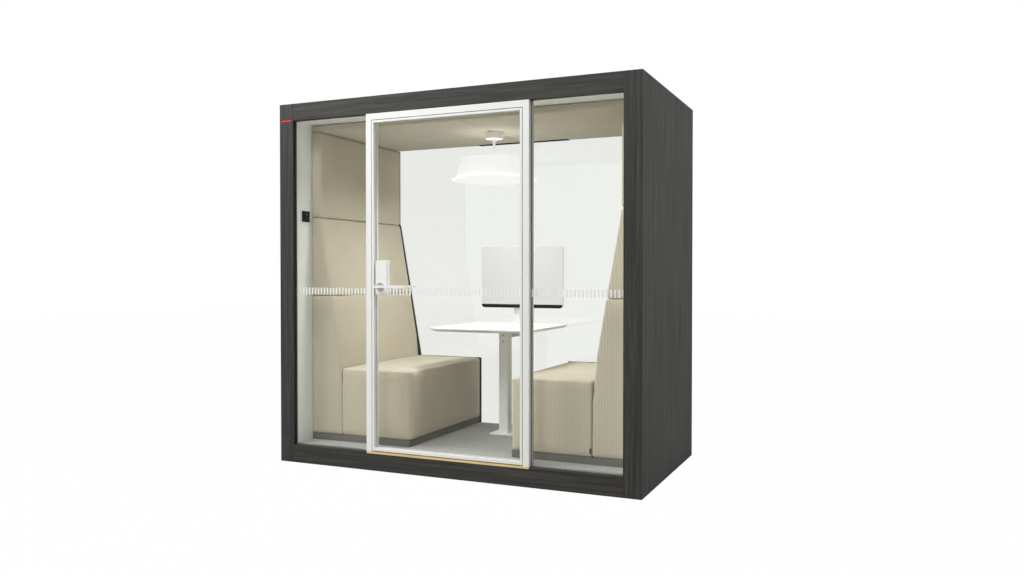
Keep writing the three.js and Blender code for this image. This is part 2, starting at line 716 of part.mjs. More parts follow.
// Table: a thin-edged top on a beam, a square column and its foot plate
const tableTop = floorTop + tableHeight;
const tableX = [-tableWidth / 2, tableWidth / 2];
const tableY = [yFront + tableFront, yRearPaneInner - tableRearGap];
const edgeZ = tableTop - tableEdge;
const underZ = tableTop - tableThickness;
const tableRing = (inset, z) =>
  roundedOutline(grown(tableX, -inset), grown(tableY, -inset), tableCornerRadius - inset)
    .getPoints(6)
    .slice(0, -1)
    .map((point) => [point.x, point.y, z]);
const tableMiddle = (tableY[0] + tableY[1]) / 2;
const tableRings = [tableRing(tableBevelRun, underZ), tableRing(0, edgeZ), tableRing(0, tableTop)];
const columnY = [yFront + columnSetback, yFront + columnSetback + columnSize];
const columnX = [-columnSize / 2, columnSize / 2];
addPart("table_top", lofted(tableRings, [0, tableMiddle, underZ], [0, tableMiddle, tableTop]), whiteMetal);

const columnOutline = roundedOutline(columnX, columnY, columnCornerRadius);
const columnMiddle = (columnY[0] + columnY[1]) / 2;
const footY = [columnMiddle - footWidth / 2, columnMiddle + footWidth / 2];
const footOutline = roundedOutline([-footWidth / 2, footWidth / 2], footY, columnCornerRadius);
const foot = raised(footOutline, [floorTop, floorTop + footThickness], 3);
addPart("table_column", join(raised(columnOutline, [floorTop, underZ], 3), foot), whiteMetal);
const beamX = [-beamWidth / 2, beamWidth / 2];
const beamY = [columnY[1], tableY[1] - beamRearGap];
addPart("table_beam", block(beamX, beamY, [underZ - beamHeight, underZ]), whiteMetal);

// Display: a slim panel with a dark chin, on a flat mast that stands on the table top
const displayX = [-displayWidth / 2, displayWidth / 2];
const displayZ = [tableTop + displayLift, tableTop + displayLift + displayHeight];
const mastFront = yRearPaneInner - displaySetback;
const displayY = [mastFront - displayThickness, mastFront];
const panelOutline = roundedOutline(displayX, displayZ, displayCornerRadius);
const chinZ = [displayZ[0], displayZ[0] + chinHeight];
const chinY = [displayY[0], displayY[0] + chinStep];
const chinCut = block(grown(displayX), [chinY[0] - fit, chinY[1]], [chinZ[0] - fit, chinZ[1]]);
addPart("display_panel", cut(carried(panelOutline, displayY), chinCut), whiteBoard);
const chinBar = block(displayX, [chinY[0], chinY[1] - fit], chinZ);
const chinTrim = fromManifold(toManifold(chinBar).intersect(toManifold(carried(panelOutline, displayY))));
addPart("display_chin", chinTrim, blackPlastic);
const mastX = [-mastWidth / 2, mastWidth / 2];
const mastY = [mastFront, mastFront + mastThickness];
addPart("display_mast", block(mastX, mastY, [tableTop, displayZ[0] + mastRise]), whiteMetal);

// Lamp: canopy, stem and light module in one turning, a tapered drum shade with a flared rim, and a diffuser
const lampAt = [0, (yBench + yRearPaneInner) / 2];
const shadeTop = ceilingBottom - shadeTopDrop;
const shadeBottom = shadeTop - shadeHeight;
const rimBottom = shadeBottom - rimHeight;
const diffuserTop = rimBottom + diffuserThickness;
const stemProfile = [
  [0, ceilingBottom - fit],
  [canopyRadius, ceilingBottom - fit],
  [canopyRadius, ceilingBottom - canopyHeight],
  [stemRadius, ceilingBottom - canopyHeight],
  [stemRadius, diffuserTop + ledHeight],
  [ledRadius, diffuserTop + ledHeight],
  [ledRadius, diffuserTop + fit],
  [0, diffuserTop + fit],
];
addPart("lamp_stem", turned(stemProfile.reverse(), lampAt, 32), whiteMetal);
const rimInner = rimRadius - diffuserLip;
const shadeProfile = [
  [shadeTopRadius, shadeTop],
  [shadeTopRadius - shadeWall, shadeTop],
  [shadeBottomRadius - shadeWall, shadeBottom],
  [rimInner - fit, diffuserTop + 2 * fit],
  [rimInner - fit, rimBottom],
  [rimRadius, rimBottom],
  [rimRadius, rimBottom + rimHeight / 2],
  [shadeBottomRadius, shadeBottom],
  [shadeTopRadius, shadeTop],
];
addPart("lamp_shade", turned(shadeProfile, lampAt), opal);
addPart("lamp_diffuser", barZ(rimInner - 2 * fit, lampAt, [rimBottom, diffuserTop], 48), opal);

export default pod;
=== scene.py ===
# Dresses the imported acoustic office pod: laminate boards, clear panes, fabric pads, carpet, lamp and trim.
import json
import math

import bmesh
import bpy
import numpy as np
from mathutils import Matrix, Vector


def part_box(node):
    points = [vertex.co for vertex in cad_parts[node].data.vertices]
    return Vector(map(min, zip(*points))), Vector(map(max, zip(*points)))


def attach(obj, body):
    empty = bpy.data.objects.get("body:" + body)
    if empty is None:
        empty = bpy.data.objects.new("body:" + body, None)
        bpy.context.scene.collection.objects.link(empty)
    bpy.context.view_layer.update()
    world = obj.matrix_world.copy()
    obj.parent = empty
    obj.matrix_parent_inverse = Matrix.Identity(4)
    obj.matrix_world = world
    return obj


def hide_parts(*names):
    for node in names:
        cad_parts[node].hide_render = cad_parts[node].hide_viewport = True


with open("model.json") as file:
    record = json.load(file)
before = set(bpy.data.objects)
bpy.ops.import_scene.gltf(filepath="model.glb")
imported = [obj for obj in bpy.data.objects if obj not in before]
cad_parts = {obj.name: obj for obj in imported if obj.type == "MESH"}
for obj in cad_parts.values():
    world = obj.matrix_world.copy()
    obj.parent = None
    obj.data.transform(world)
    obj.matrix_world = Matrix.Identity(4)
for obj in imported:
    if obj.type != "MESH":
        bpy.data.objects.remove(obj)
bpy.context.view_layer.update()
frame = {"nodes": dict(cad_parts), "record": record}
scene = bpy.context.scene
scene.view_settings.view_transform = "Standard"

record = frame["record"]
bodyOf = {node: body for body, nodes in record["behaviour"]["bodies"].items() for node in nodes}
sideNames = ("left", "right")


def linear(hexCode):
    parts = [int(hexCode[i : i + 2], 16) / 255 for i in (1, 3, 5)]
    return tuple(c / 12.92 if c <= 0.04045 else ((c + 0.055) / 1.055) ** 2.4 for c in parts) + (1.0,)


def addNode(tree, kind, settings=None, links=None):
    node = tree.nodes.new(kind)
    for key, value in (settings or {}).items():
        setattr(node, key, value)
    for key, value in (links or {}).items():
        if isinstance(value, bpy.types.NodeSocket):
            tree.links.new(value, node.inputs[key])
        else:
            node.inputs[key].default_value = value
    return node


def startMaterial(name, sockets):
    material = bpy.data.materials.new(name)
    material.use_nodes = True
    tree = material.node_tree
    shader = tree.nodes["Principled BSDF"]
    for key, value in sockets.items():
        shader.inputs[key].default_value = value
    return material, tree, shader


# Camera at the photograph's place, with the lens that fits the casing's corners
cameraView = {"lens": 30.0, "sensor": 36.0, "place": (2.4098, -5.0622, 1.2056), "pitchDown": 0.01544, "turn": 0.41791}

cameraData = bpy.data.cameras.new("camera")
cameraData.lens = cameraView["lens"]
cameraData.sensor_width = cameraView["sensor"]
camera = bpy.data.objects.new("camera", cameraData)
camera.location = cameraView["place"]
camera.rotation_euler = (math.pi / 2 - cameraView["pitchDown"], 0, cameraView["turn"])
scene.collection.objects.link(camera)
scene.camera = camera

# White surroundings seen by eye and through glass; everything else gets the softer studio level
studio = {
    "skyLight": 0.50,
    "floorSize": 40.0,
    "floorColour": "#b4b4b2",
    "floorGlow": 0.99,
    "lamps": [
        {"name": "keyLeft", "place": (-3.2, -3.0, 4.6), "aim": (-0.8, -0.4, 1.1), "size": 2.4, "watts": 168},
        {"name": "sideRight", "place": (7.0, 0.5, 2.2), "aim": (1.2, 0, 1.1), "size": 3.0, "watts": 165},
        {"name": "frontHigh", "place": (-0.4, -6.2, 7.2), "aim": (0.1, 0.1, 0.6), "size": 3.0, "watts": 250},
    ],
}


def seenDirectly(tree):
    # 1 for camera and transmission rays, 0 for the rays that light the object or show in its gloss
    path = addNode(tree, "ShaderNodeLightPath")
    eye = path.outputs["Is Camera Ray"]
    through = path.outputs["Is Transmission Ray"]
    return addNode(tree, "ShaderNodeMath", {"operation": "MAXIMUM"}, {0: eye, 1: through}).outputs[0]


world = bpy.data.worlds.new("studio")
scene.world = world
world.use_nodes = True
skyTree = world.node_tree
skyLevel = addNode(
    skyTree,
    "ShaderNodeMix",
    {"data_type": "FLOAT"},
    {"Factor": seenDirectly(skyTree), 2: studio["skyLight"], 3: 1.0},
)
skyTree.links.new(skyLevel.outputs[0], skyTree.nodes["Background"].inputs["Strength"])
skyTree.nodes["Background"].inputs["Color"].default_value = (1, 1, 1, 1)

floorMaterial, floorTree, floorShader = startMaterial(
    "pale studio floor",
    {"Base Color": linear(studio["floorColour"]), "Roughness": 0.9},
)
floorGlow = addNode(floorTree, "ShaderNodeEmission", links={"Color": (1, 1, 1, 1), "Strength": 1.0})
floorShare = addNode(
    floorTree,
    "ShaderNodeMath",
    {"operation": "MULTIPLY"},
    {0: seenDirectly(floorTree), 1: studio["floorGlow"]},
)
floorMix = addNode(
    floorTree,
    "ShaderNodeMixShader",
    links={0: floorShare.outputs[0], 1: floorShader.outputs[0], 2: floorGlow.outputs[0]},
)
floorTree.links.new(floorMix.outputs[0], floorTree.nodes["Material Output"].inputs["Surface"])
floorMesh = bpy.data.meshes.new("floor")
half = studio["floorSize"] / 2
floorMesh.from_pydata([(-half, -half, 0), (half, -half, 0), (half, half, 0), (-half, half, 0)], [], [(0, 1, 2, 3)])
floorMesh.materials.append(floorMaterial)
floor = bpy.data.objects.new("floor", floorMesh)
scene.collection.objects.link(floor)

for plan in studio["lamps"]:
    lampData = bpy.data.lights.new(plan["name"], "AREA")
    lampData.size = plan["size"]
    lampData.energy = plan["watts"]
    lampObject = bpy.data.objects.new(plan["name"], lampData)
    lampObject.location = plan["place"]
    aim = Vector(plan["aim"]) - Vector(plan["place"])
    lampObject.rotation_euler = aim.to_track_quat("-Z", "Y").to_euler()
    scene.collection.objects.link(lampObject)
print("stage: camera, white surroundings and lamps")


# Charcoal woodgrain laminate: printed decor paper under matt melamine, long soft streaks with fine pores
laminateFinish = {"dark": "#2e2d2b", "mid": "#383734", "pale": "#474541", "streakMm": 16, "lengthMm": 620, "poreMm": 3}


def woodgrainLaminate(name, grain):
    finish = laminateFinish
    material, tree, shader = startMaterial(name, {"Roughness": 0.55, "Specular IOR Level": 0.25})
    place = addNode(tree, "ShaderNodeTexCoord").outputs["Object"]
    scales = []
    for width, length in ((finish["streakMm"], finish["lengthMm"]), (finish["poreMm"], finish["lengthMm"] / 8)):
        scale = [1000 / width] * 3
        scale["xyz".index(grain)] = 1000 / length
        scales.append(scale)
    broad = addNode(tree, "ShaderNodeMapping", links={"Vector": place, "Scale": scales[0]}).outputs[0]
    fine = addNode(tree, "ShaderNodeMapping", links={"Vector": place, "Scale": scales[1]}).outputs[0]
    streaks = addNode(
        tree,
        "ShaderNodeTexNoise",
        links={"Vector": broad, "Scale": 1.0, "Detail": 5.0, "Roughness": 0.6, "Distortion": 0.35},
    )
    pores = addNode(tree, "ShaderNodeTexNoise", links={"Vector": fine, "Scale": 1.0, "Detail": 3.0, "Roughness": 0.55})
    ramp = addNode(tree, "ShaderNodeValToRGB", links={"Fac": streaks.outputs["Fac"]})
    ramp.color_ramp.elements[0].position = 0.33
    ramp.color_ramp.elements[0].color = linear(finish["dark"])
    ramp.color_ramp.elements[1].position = 0.68
    ramp.color_ramp.elements[1].color = linear(finish["pale"])
    middle = ramp.color_ramp.elements.new(0.5)
    middle.color = linear(finish["mid"])
    poreShade = addNode(tree, "ShaderNodeMapRange", links={0: pores.outputs["Fac"], 1: 0.35, 2: 0.6, 3: 0.82, 4: 1.06})
    colour = addNode(
        tree,
        "ShaderNodeVectorMath",
        {"operation": "SCALE"},
        {0: ramp.outputs["Color"], "Scale": poreShade.outputs[0]},
    )
    tree.links.new(colour.outputs[0], shader.inputs["Base Color"])
    rough = addNode(tree, "ShaderNodeMapRange", links={0: streaks.outputs["Fac"], 1: 0.3, 2: 0.7, 3: 0.62, 4: 0.5})
    tree.links.new(rough.outputs[0], shader.inputs["Roughness"])
    bump = addNode(tree, "ShaderNodeBump", links={"Strength": 0.25, "Distance": 0.0006, "Height": pores.outputs["Fac"]})
    tree.links.new(bump.outputs[0], shader.inputs["Normal"])
    return material


laminateUpright = woodgrainLaminate("charcoal woodgrain laminate, upright", "z")
laminateLevel = woodgrainLaminate("charcoal woodgrain laminate, level", "x")


# A sprayed or moulded finish: an even colour with a faint orange peel or grain of the given size, and slow clouds in it
cloudMm = 1000 / 6


def evenFinish(name, hexCode, sockets, grainMm, grainDepth, shift=0.03):
    material, tree, shader = startMaterial(name, sockets)
    place = addNode(tree, "ShaderNodeTexCoord").outputs["Object"]
    grain = addNode(tree, "ShaderNodeTexNoise", links={"Vector": place, "Scale": 1000 / grainMm, "Detail": 2.0})
    cloud = addNode(tree, "ShaderNodeTexNoise", links={"Vector": place, "Scale": 1000 / cloudMm, "Detail": 2.0})
    level = addNode(tree, "ShaderNodeMapRange", links={0: cloud.outputs["Fac"], 1: 0.3, 2: 0.7, 3: 1 - shift, 4: 1.0})
    colour = addNode(
        tree,
        "ShaderNodeVectorMath",
        {"operation": "SCALE"},
        {0: linear(hexCode)[:3], "Scale": level.outputs[0]},
    )
    tree.links.new(colour.outputs[0], shader.inputs["Base Color"])
    rough = sockets.get("Roughness", 0.5)
    scatter = addNode(
        tree,
        "ShaderNodeMapRange",
        links={0: grain.outputs["Fac"], 1: 0.3, 2: 0.7, 3: rough - 0.05, 4: rough + 0.06},
    )
    tree.links.new(scatter.outputs[0], shader.inputs["Roughness"])
    bump = addNode(
        tree,
        "ShaderNodeBump",
        links={"Strength": grainDepth, "Distance": 0.0004, "Height": grain.outputs["Fac"]},
    )
    tree.links.new(bump.outputs[0], shader.inputs["Normal"])
    return material


whiteCoatGloss = {"Roughness": 0.36, "Specular IOR Level": 0.45}
paintedShadeCoatGloss = {"Roughness": 0.4, "Specular IOR Level": 0.4}
whitePowderCoat = evenFinish("white powder coat", "#e6e6e3", whiteCoatGloss, 2.2, 0.12)
# painted shade: the white powder coat made pale grey, for the beam in the table's shadow and for the mast
whiteCoatPaintedShade = evenFinish("white powder coat, painted shade", "#cfcfcb", paintedShadeCoatGloss, 2.2, 0.12)
# painted light: the white powder coat made brighter, for the column in the table's shade
whiteCoatPaintedLight = evenFinish("white powder coat, painted light", "#fafaf7", {"Roughness": 0.4}, 2.2, 0.12)
whiteBoardPaint = evenFinish("white lacquered board", "#f3f3f1", {"Roughness": 0.55}, 3.0, 0.1)
blackStainedBoard = evenFinish("black stained plywood", "#34312d", {"Roughness": 0.62}, 5.0, 0.25, 0.16)
greyStainedBoard = evenFinish("grey laminated plinth board", "#6e6b64", {"Roughness": 0.62}, 5.0, 0.2, 0.1)
blackAbs = evenFinish("black moulded ABS", "#121211", {"Roughness": 0.6, "Specular IOR Level": 0.04}, 1.2, 0.3)
greyAbs = evenFinish("grey moulded ABS", "#8f908e", {"Roughness": 0.45}, 1.2, 0.3)
greyEpdm = evenFinish("pale grey EPDM rubber", "#d9dad7", {"Roughness": 0.6}, 1.5, 0.2)
blackOxide = evenFinish("black oxide steel", "#4a4946", {"Roughness": 0.4, "Metallic": 0.7}, 1.0, 0.1)
charcoalEpdm = evenFinish("charcoal EPDM rubber", "#6b6a66", {"Roughness": 0.7}, 1.5, 0.2)
blackEpdm = evenFinish("black EPDM rubber", "#191918", {"Roughness": 0.7}, 1.5, 0.2)
satinAluminium = evenFinish("satin anodised aluminium", "#c6c7c4", {"Roughness": 0.36, "Metallic": 0.85}, 1.5, 0.08)
brushedSteel = evenFinish("brushed stainless steel", "#b9babb", {"Roughness": 0.3, "Metallic": 1.0}, 1.0, 0.1)
greyRubber = evenFinish("grey moulded tab", "#343330", {"Roughness": 0.7}, 1.5, 0.2)


# Clear glass: nearly colourless, and lamps and bounced light pass straight through it
lightThrough = (0.95, 0.96, 0.955, 1)


def clearPane(name, tint, index):
    material, tree, shader = startMaterial(
        name,
        {"Base Color": linear(tint), "Roughness": 0.0, "IOR": index, "Transmission Weight": 1.0},
    )
    path = addNode(tree, "ShaderNodeLightPath")
    light = addNode(
        tree,
        "ShaderNodeMath",
        {"operation": "MAXIMUM"},
        {0: path.outputs["Is Shadow Ray"], 1: path.outputs["Is Diffuse Ray"]},
    )
    clear = addNode(tree, "ShaderNodeBsdfTransparent", links={"Color": lightThrough})
    mix = addNode(tree, "ShaderNodeMixShader", links={0: light.outputs[0], 1: shader.outputs[0], 2: clear.outputs[0]})
    tree.links.new(mix.outputs[0], tree.nodes["Material Output"].inputs["Surface"])
    return material


# The front panes mirror very little in the photo, so their index is taken low
frontGlass = clearPane("clear laminated glass", "#fbfcfb", 1.2)
rearGlass = clearPane("clear toughened glass", "#f2f3f0", 1.5)


# Beige wool weave with upright ribs and a lighter crossing thread. The real threads are about 1.5 mm apart, too fine
# for the render, so they are drawn at the spacing below.
weaveFinish = {"base": "#cec5b0", "deep": "#bdb49e", "spacingMm": 12, "cloudMm": 240, "slubMm": 3.125}


def ribbedWeave(name):
    finish = weaveFinish
    material, tree, shader = startMaterial(
        name,
        {"Roughness": 0.92, "Specular IOR Level": 0.15, "Sheen Weight": 0.4, "Sheen Roughness": 0.45},
    )
    place = addNode(tree, "ShaderNodeTexCoord").outputs["Object"]
    turns = 2 * math.pi * 1000 / finish["spacingMm"]
    runs = []
    for direction in ((0.7, 0.7, 0.0), (0.35, -0.35, 0.7)):
        along = addNode(
            tree,
            "ShaderNodeVectorMath",
            {"operation": "DOT_PRODUCT"},
            {0: place, 1: [turns * d for d in direction]},
        )
        runs.append(addNode(tree, "ShaderNodeMath", {"operation": "SINE"}, {0: along.outputs["Value"]}).outputs[0])
    crossed = addNode(tree, "ShaderNodeMath", {"operation": "MULTIPLY_ADD"}, {0: runs[1], 1: 0.45, 2: runs[0]})
    thread = addNode(tree, "ShaderNodeMapRange", links={0: crossed.outputs[0], 1: -1.45, 2: 1.45}).outputs[0]
    patchy = []
    for size, detail in ((finish["cloudMm"], 3.0), (finish["slubMm"], 2.0)):
        noise = addNode(tree, "ShaderNodeTexNoise", links={"Vector": place, "Scale": 1000 / size, "Detail": detail})
        patchy.append(noise.outputs["Fac"])
    cloud, slub = patchy
    mixed = addNode(tree, "ShaderNodeMath", {"operation": "MULTIPLY_ADD"}, {0: slub, 1: 0.3, 2: -0.15})
    share = addNode(tree, "ShaderNodeMath", {"operation": "ADD", "use_clamp": True}, {0: thread, 1: mixed.outputs[0]})
    colour = addNode(
        tree,
        "ShaderNodeMix",
        {"data_type": "RGBA"},
        {"Factor": share.outputs[0], 6: linear(finish["deep"]), 7: linear(finish["base"])},
    )
    level = addNode(tree, "ShaderNodeMapRange", links={0: cloud, 1: 0.3, 2: 0.7, 3: 0.95, 4: 1.03})
    shade = addNode(
        tree,
        "ShaderNodeVectorMath",
        {"operation": "SCALE"},
        {0: colour.outputs[2], "Scale": level.outputs[0]},
    )
    tree.links.new(shade.outputs[0], shader.inputs["Base Color"])
    bump = addNode(tree, "ShaderNodeBump", links={"Strength": 0.3, "Distance": 0.001, "Height": share.outputs[0]})
    tree.links.new(bump.outputs[0], shader.inputs["Normal"])
    return material


beigeWeave = ribbedWeave("beige wool weave")


# Grey loop-pile carpet: tight loops a few millimetres across with lighter and darker yarn
carpetFinish = {"pale": "#cacac6", "deep": "#9a9a95", "loopMm": 7, "yarnMm": 1000 / 90}


def loopPile(name):
    finish = carpetFinish
    material, tree, shader = startMaterial(name, {"Roughness": 1.0, "Specular IOR Level": 0.1, "Sheen Weight": 0.1})
    place = addNode(tree, "ShaderNodeTexCoord").outputs["Object"]
    loops = addNode(tree, "ShaderNodeTexVoronoi", links={"Vector": place, "Scale": 1000 / finish["loopMm"]})
    yarn = addNode(tree, "ShaderNodeTexNoise", links={"Vector": place, "Scale": 1000 / finish["yarnMm"], "Detail": 3.0})
    share = addNode(
        tree,
        "ShaderNodeMath",
        {"operation": "MULTIPLY_ADD", "use_clamp": True},
        {0: loops.outputs["Distance"], 1: -0.7, 2: 0.75},
    )
    blendIn = addNode(tree, "ShaderNodeMath", {"operation": "MULTIPLY"}, {0: share.outputs[0], 1: yarn.outputs["Fac"]})
    lifted = addNode(tree, "ShaderNodeMapRange", links={0: blendIn.outputs[0], 1: 0.05, 2: 0.45})
    colour = addNode(
        tree,
        "ShaderNodeMix",
        {"data_type": "RGBA"},
        {"Factor": lifted.outputs[0], 6: linear(finish["deep"]), 7: linear(finish["pale"])},
    )
    tree.links.new(colour.outputs[2], shader.inputs["Base Color"])
    bump = addNode(tree, "ShaderNodeBump", links={"Strength": 0.5, "Distance": 0.002, "Height": share.outputs[0]})
    tree.links.new(bump.outputs[0], shader.inputs["Normal"])
    return material


greyCarpet = loopPile("grey loop-pile carpet")


# Pale lacquered oak: straight grain along X with darker pores
oakFinish = {"pore": "#c9ab6a", "pale": "#e6d09a", "lengthMm": 160, "poreMm": 3.5}


def lacqueredOak(name):
    finish = oakFinish
    material, tree, shader = startMaterial(name, {"Roughness": 0.42, "Coat Weight": 0.15, "Coat Roughness": 0.2})
    place = addNode(tree, "ShaderNodeTexCoord").outputs["Object"]
    scale = (1000 / finish["lengthMm"], 1000 / finish["poreMm"], 1000 / finish["poreMm"])
    stretched = addNode(tree, "ShaderNodeMapping", links={"Vector": place, "Scale": scale}).outputs[0]
    grain = addNode(
        tree,
        "ShaderNodeTexNoise",
        links={"Vector": stretched, "Scale": 1.0, "Detail": 4.0, "Distortion": 0.4},
    )
    ramp = addNode(tree, "ShaderNodeValToRGB", links={"Fac": grain.outputs["Fac"]})
    ramp.color_ramp.elements[0].position = 0.3
    ramp.color_ramp.elements[0].color = linear(finish["pore"])
    ramp.color_ramp.elements[1].position = 0.66
    ramp.color_ramp.elements[1].color = linear(finish["pale"])
    tree.links.new(ramp.outputs["Color"], shader.inputs["Base Color"])
    bump = addNode(tree, "ShaderNodeBump", links={"Strength": 0.15, "Distance": 0.0004, "Height": grain.outputs["Fac"]})
    tree.links.new(bump.outputs[0], shader.inputs["Normal"])
    return material


paleOak = lacqueredOak("pale lacquered oak")


# Opal acrylic, a lit screen, a red lens and white film: an even face that gives off a little light of its own. On the
# white film that glow is painted light, standing for light shining through the film from behind.
def glowing(name, hexCode, rough, strength):
    material = evenFinish(name, hexCode, {"Roughness": rough}, 3.0, 0.03, 0.01)
    shader = material.node_tree.nodes["Principled BSDF"]
    shader.inputs["Emission Color"].default_value = linear(hexCode)
    shader.inputs["Emission Strength"].default_value = strength
    return material


opalShade = glowing("opal acrylic shade", "#f4f6f7", 0.45, 0.62)
opalDiffuser = glowing("opal acrylic diffuser", "#f3f4f5", 0.4, 0.36)
litScreen = glowing("lit display glass", "#6e6e6d", 0.4, 3.1)
# painted light: the white film glows, standing for light shining through it from behind
whiteVinylPaintedGlow = glowing("white cut vinyl film, painted glow", "#dcdcd8", 0.6, 0.1)
redLens = glowing("red moulded lens", "#d8101c", 0.22, 0.35)
print("stage: materials")


def newPiece(name, mesh):
    piece = bpy.data.objects.new(name, mesh)
    scene.collection.objects.link(piece)
    return piece


def mergedMesh(name, node, flatten=True):
    # a copy of a CAD node with shared points, and with its flat faces whole again
    shape = bmesh.new()
    shape.from_mesh(frame["nodes"][node].data)
    bmesh.ops.remove_doubles(shape, verts=shape.verts, dist=1e-5)
    if flatten:
        bmesh.ops.dissolve_limit(shape, angle_limit=math.radians(0.5), verts=shape.verts, edges=shape.edges)
    mesh = bpy.data.meshes.new(name)
    shape.to_mesh(mesh)
    shape.free()
    for attribute in [a.name for a in mesh.attributes if a.name in ("custom_normal", "sharp_edge", "sharp_face")]:
        mesh.attributes.remove(mesh.attributes[attribute])
    return mesh


def settle(piece):
    # modifiers become plain mesh
    graph = bpy.context.evaluated_depsgraph_get()
    mesh = bpy.data.meshes.new_from_object(piece.evaluated_get(graph))
    piece.modifiers.clear()
    piece.data = mesh
    return piece


# Hard pieces are smoothed up to the hard crease, the carpet's pile up to the pile's, and a pad all over
creases = {"hard": 32, "pile": 60, "pad": 180}


def finishPiece(piece, material, body, replaced=(), crease=creases["hard"]):
    piece.data.materials.clear()
    piece.data.materials.append(material)
    piece.data.shade_smooth()
    piece.data.set_sharp_from_angle(angle=math.radians(crease))
    if crease == creases["hard"]:
        # large flats keep their own direction beside an eased edge
        even = piece.modifiers.new("evenShading", "WEIGHTED_NORMAL")
        even.keep_sharp = True
    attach(piece, body)
    if replaced:
        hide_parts(*replaced)
    return piece


def easeEdges(piece, widthMm):
    bevel = piece.modifiers.new("easedEdge", "BEVEL")
    bevel.width = widthMm / 1000
    bevel.segments = 2
    bevel.limit_method = "ANGLE"
    bevel.angle_limit = math.radians(28)
    return settle(piece)


def edgedPiece(node, widthMm, material):
    # the control plate's face has two openings, so it can't be made one whole face
    piece = newPiece(node + "_finished", mergedMesh(node + "_finished", node, flatten=node != "control_plate"))
    easeEdges(piece, widthMm)
    return finishPiece(piece, material, bodyOf[node], [node])


def boxMesh(name, low, high):
    shape = bmesh.new()
    size = Vector(high) - Vector(low)
    middle = (Vector(high) + Vector(low)) / 2
    bmesh.ops.create_cube(shape, size=1.0, matrix=Matrix.Translation(middle) @ Matrix.Diagonal((*size, 1)))
    mesh = bpy.data.meshes.new(name)
    shape.to_mesh(mesh)
    shape.free()
    return mesh


def turnedMesh(name, profile, middle, segments):
    # a closed ring of (radius, height) points turned about an upright axis
    shape = bmesh.new()
    rings = []
    for step in range(segments):
        angle = 2 * math.pi * step / segments
        ring = [
            shape.verts.new((middle[0] + r * math.cos(angle), middle[1] + r * math.sin(angle), z)) for r, z in profile
        ]
        rings.append(ring)
    count = len(profile)
    for step in range(segments):
        here, there = rings[step], rings[(step + 1) % segments]
        for i in range(count):
            j = (i + 1) % count
            shape.faces.new((here[i], there[i], there[j], here[j]))
    bmesh.ops.remove_doubles(shape, verts=shape.verts, dist=1e-6)
    bmesh.ops.dissolve_degenerate(shape, dist=1e-6, edges=shape.edges)
    bmesh.ops.recalc_face_normals(shape, faces=shape.faces)
    mesh = bpy.data.meshes.new(name)
    shape.to_mesh(mesh)
    shape.free()
    return mesh


# Casing boards with slightly eased edges; the grain runs along each board
boards = {
    "easeMm": 1.4,
    "upright": ["front_stile_left", "front_stile_right", "side_wall_left", "side_wall_right"],
    "level": ["front_bottom_rail", "front_top_rail", "roof_panel"],
}
for node in boards["upright"]:
    edgedPiece(node, boards["easeMm"], laminateUpright)
for node in boards["level"]:
    edgedPiece(node, boards["easeMm"], laminateLevel)

# The rear frame is four boards: two full-height stiles with the rails between them
rearLow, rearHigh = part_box("rear_frame")
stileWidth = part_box("front_stile_right")[1].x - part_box("front_stile_right")[0].x
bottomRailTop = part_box("front_bottom_rail")[1].z
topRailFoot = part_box("front_top_rail")[0].z
innerX = rearHigh.x - stileWidth
rearBoards = [
    ("rear_stile_left", (rearLow.x, rearLow.z), (-innerX, rearHigh.z), laminateUpright),
    ("rear_stile_right", (innerX, rearLow.z), (rearHigh.x, rearHigh.z), laminateUpright),
    ("rear_bottom_rail", (-innerX, rearLow.z), (innerX, bottomRailTop), laminateLevel),
    ("rear_top_rail", (-innerX, topRailFoot), (innerX, rearHigh.z), laminateLevel),
]
for name, low, high, material in rearBoards:
    board = newPiece(name, boxMesh(name, (low[0], rearLow.y, low[1]), (high[0], rearHigh.y, high[1])))
    easeEdges(board, boards["easeMm"])
    finishPiece(board, material, "casing", ["rear_frame"])
print("stage: casing boards")

# Rigid nodes that keep their shape and get an eased edge and a finish
edged = {
    "leaf_frame": (0.7, whitePowderCoat),
    "door_jamb_left": (0.7, whitePowderCoat),
    "door_jamb_right": (0.7, whitePowderCoat),
    "door_head": (0.7, whitePowderCoat),
    "lock_case": (2.2, whitePowderCoat),
    "outside_lever": (1.2, whitePowderCoat),
    "inside_lever": (1.2, whitePowderCoat),
    "table_top": (1.2, whitePowderCoat),
    # painted light on the column
    "table_column": (1.0, whiteCoatPaintedLight),
    # painted shade on the beam and the mast
    "table_beam": (1.6, whiteCoatPaintedShade),
    "display_mast": (1.6, whiteCoatPaintedShade),
    "display_panel": (1.0, litScreen),
    "display_chin": (0.3, blackAbs),
    "threshold": (1.2, paleOak),
    "pane_channel_left": (0.8, satinAluminium),
    "pane_channel_right": (0.8, satinAluminium),
    "strike_plate": (0.4, brushedSteel),
    "latch_bolt": (0.5, brushedSteel),
    "head_lining": (0.8, whiteBoardPaint),
    "side_lining_left": (0.8, whiteBoardPaint),
    "side_lining_right": (0.8, whiteBoardPaint),
    "plinth_left": (1.5, greyStainedBoard),
    "plinth_right": (1.5, greyStainedBoard),
    "end_board_left": (1.2, blackStainedBoard),
    "end_board_right": (1.2, blackStainedBoard),
    "floor_cassette": (1.0, blackStainedBoard),
    "control_plate": (1.6, blackAbs),
    "light_key": (0.8, blackAbs),
    "fan_key": (0.8, blackAbs),
    "vent_grille": (0.5, blackAbs),
    "status_light": (0.5, redLens),
    "lamp_diffuser": (0.8, opalDiffuser),
    "fan_housing": (0.4, blackAbs),
    "fan_rotor": (0.3, greyAbs),
}
for node, (widthMm, material) in edged.items():
    edgedPiece(node, widthMm, material)

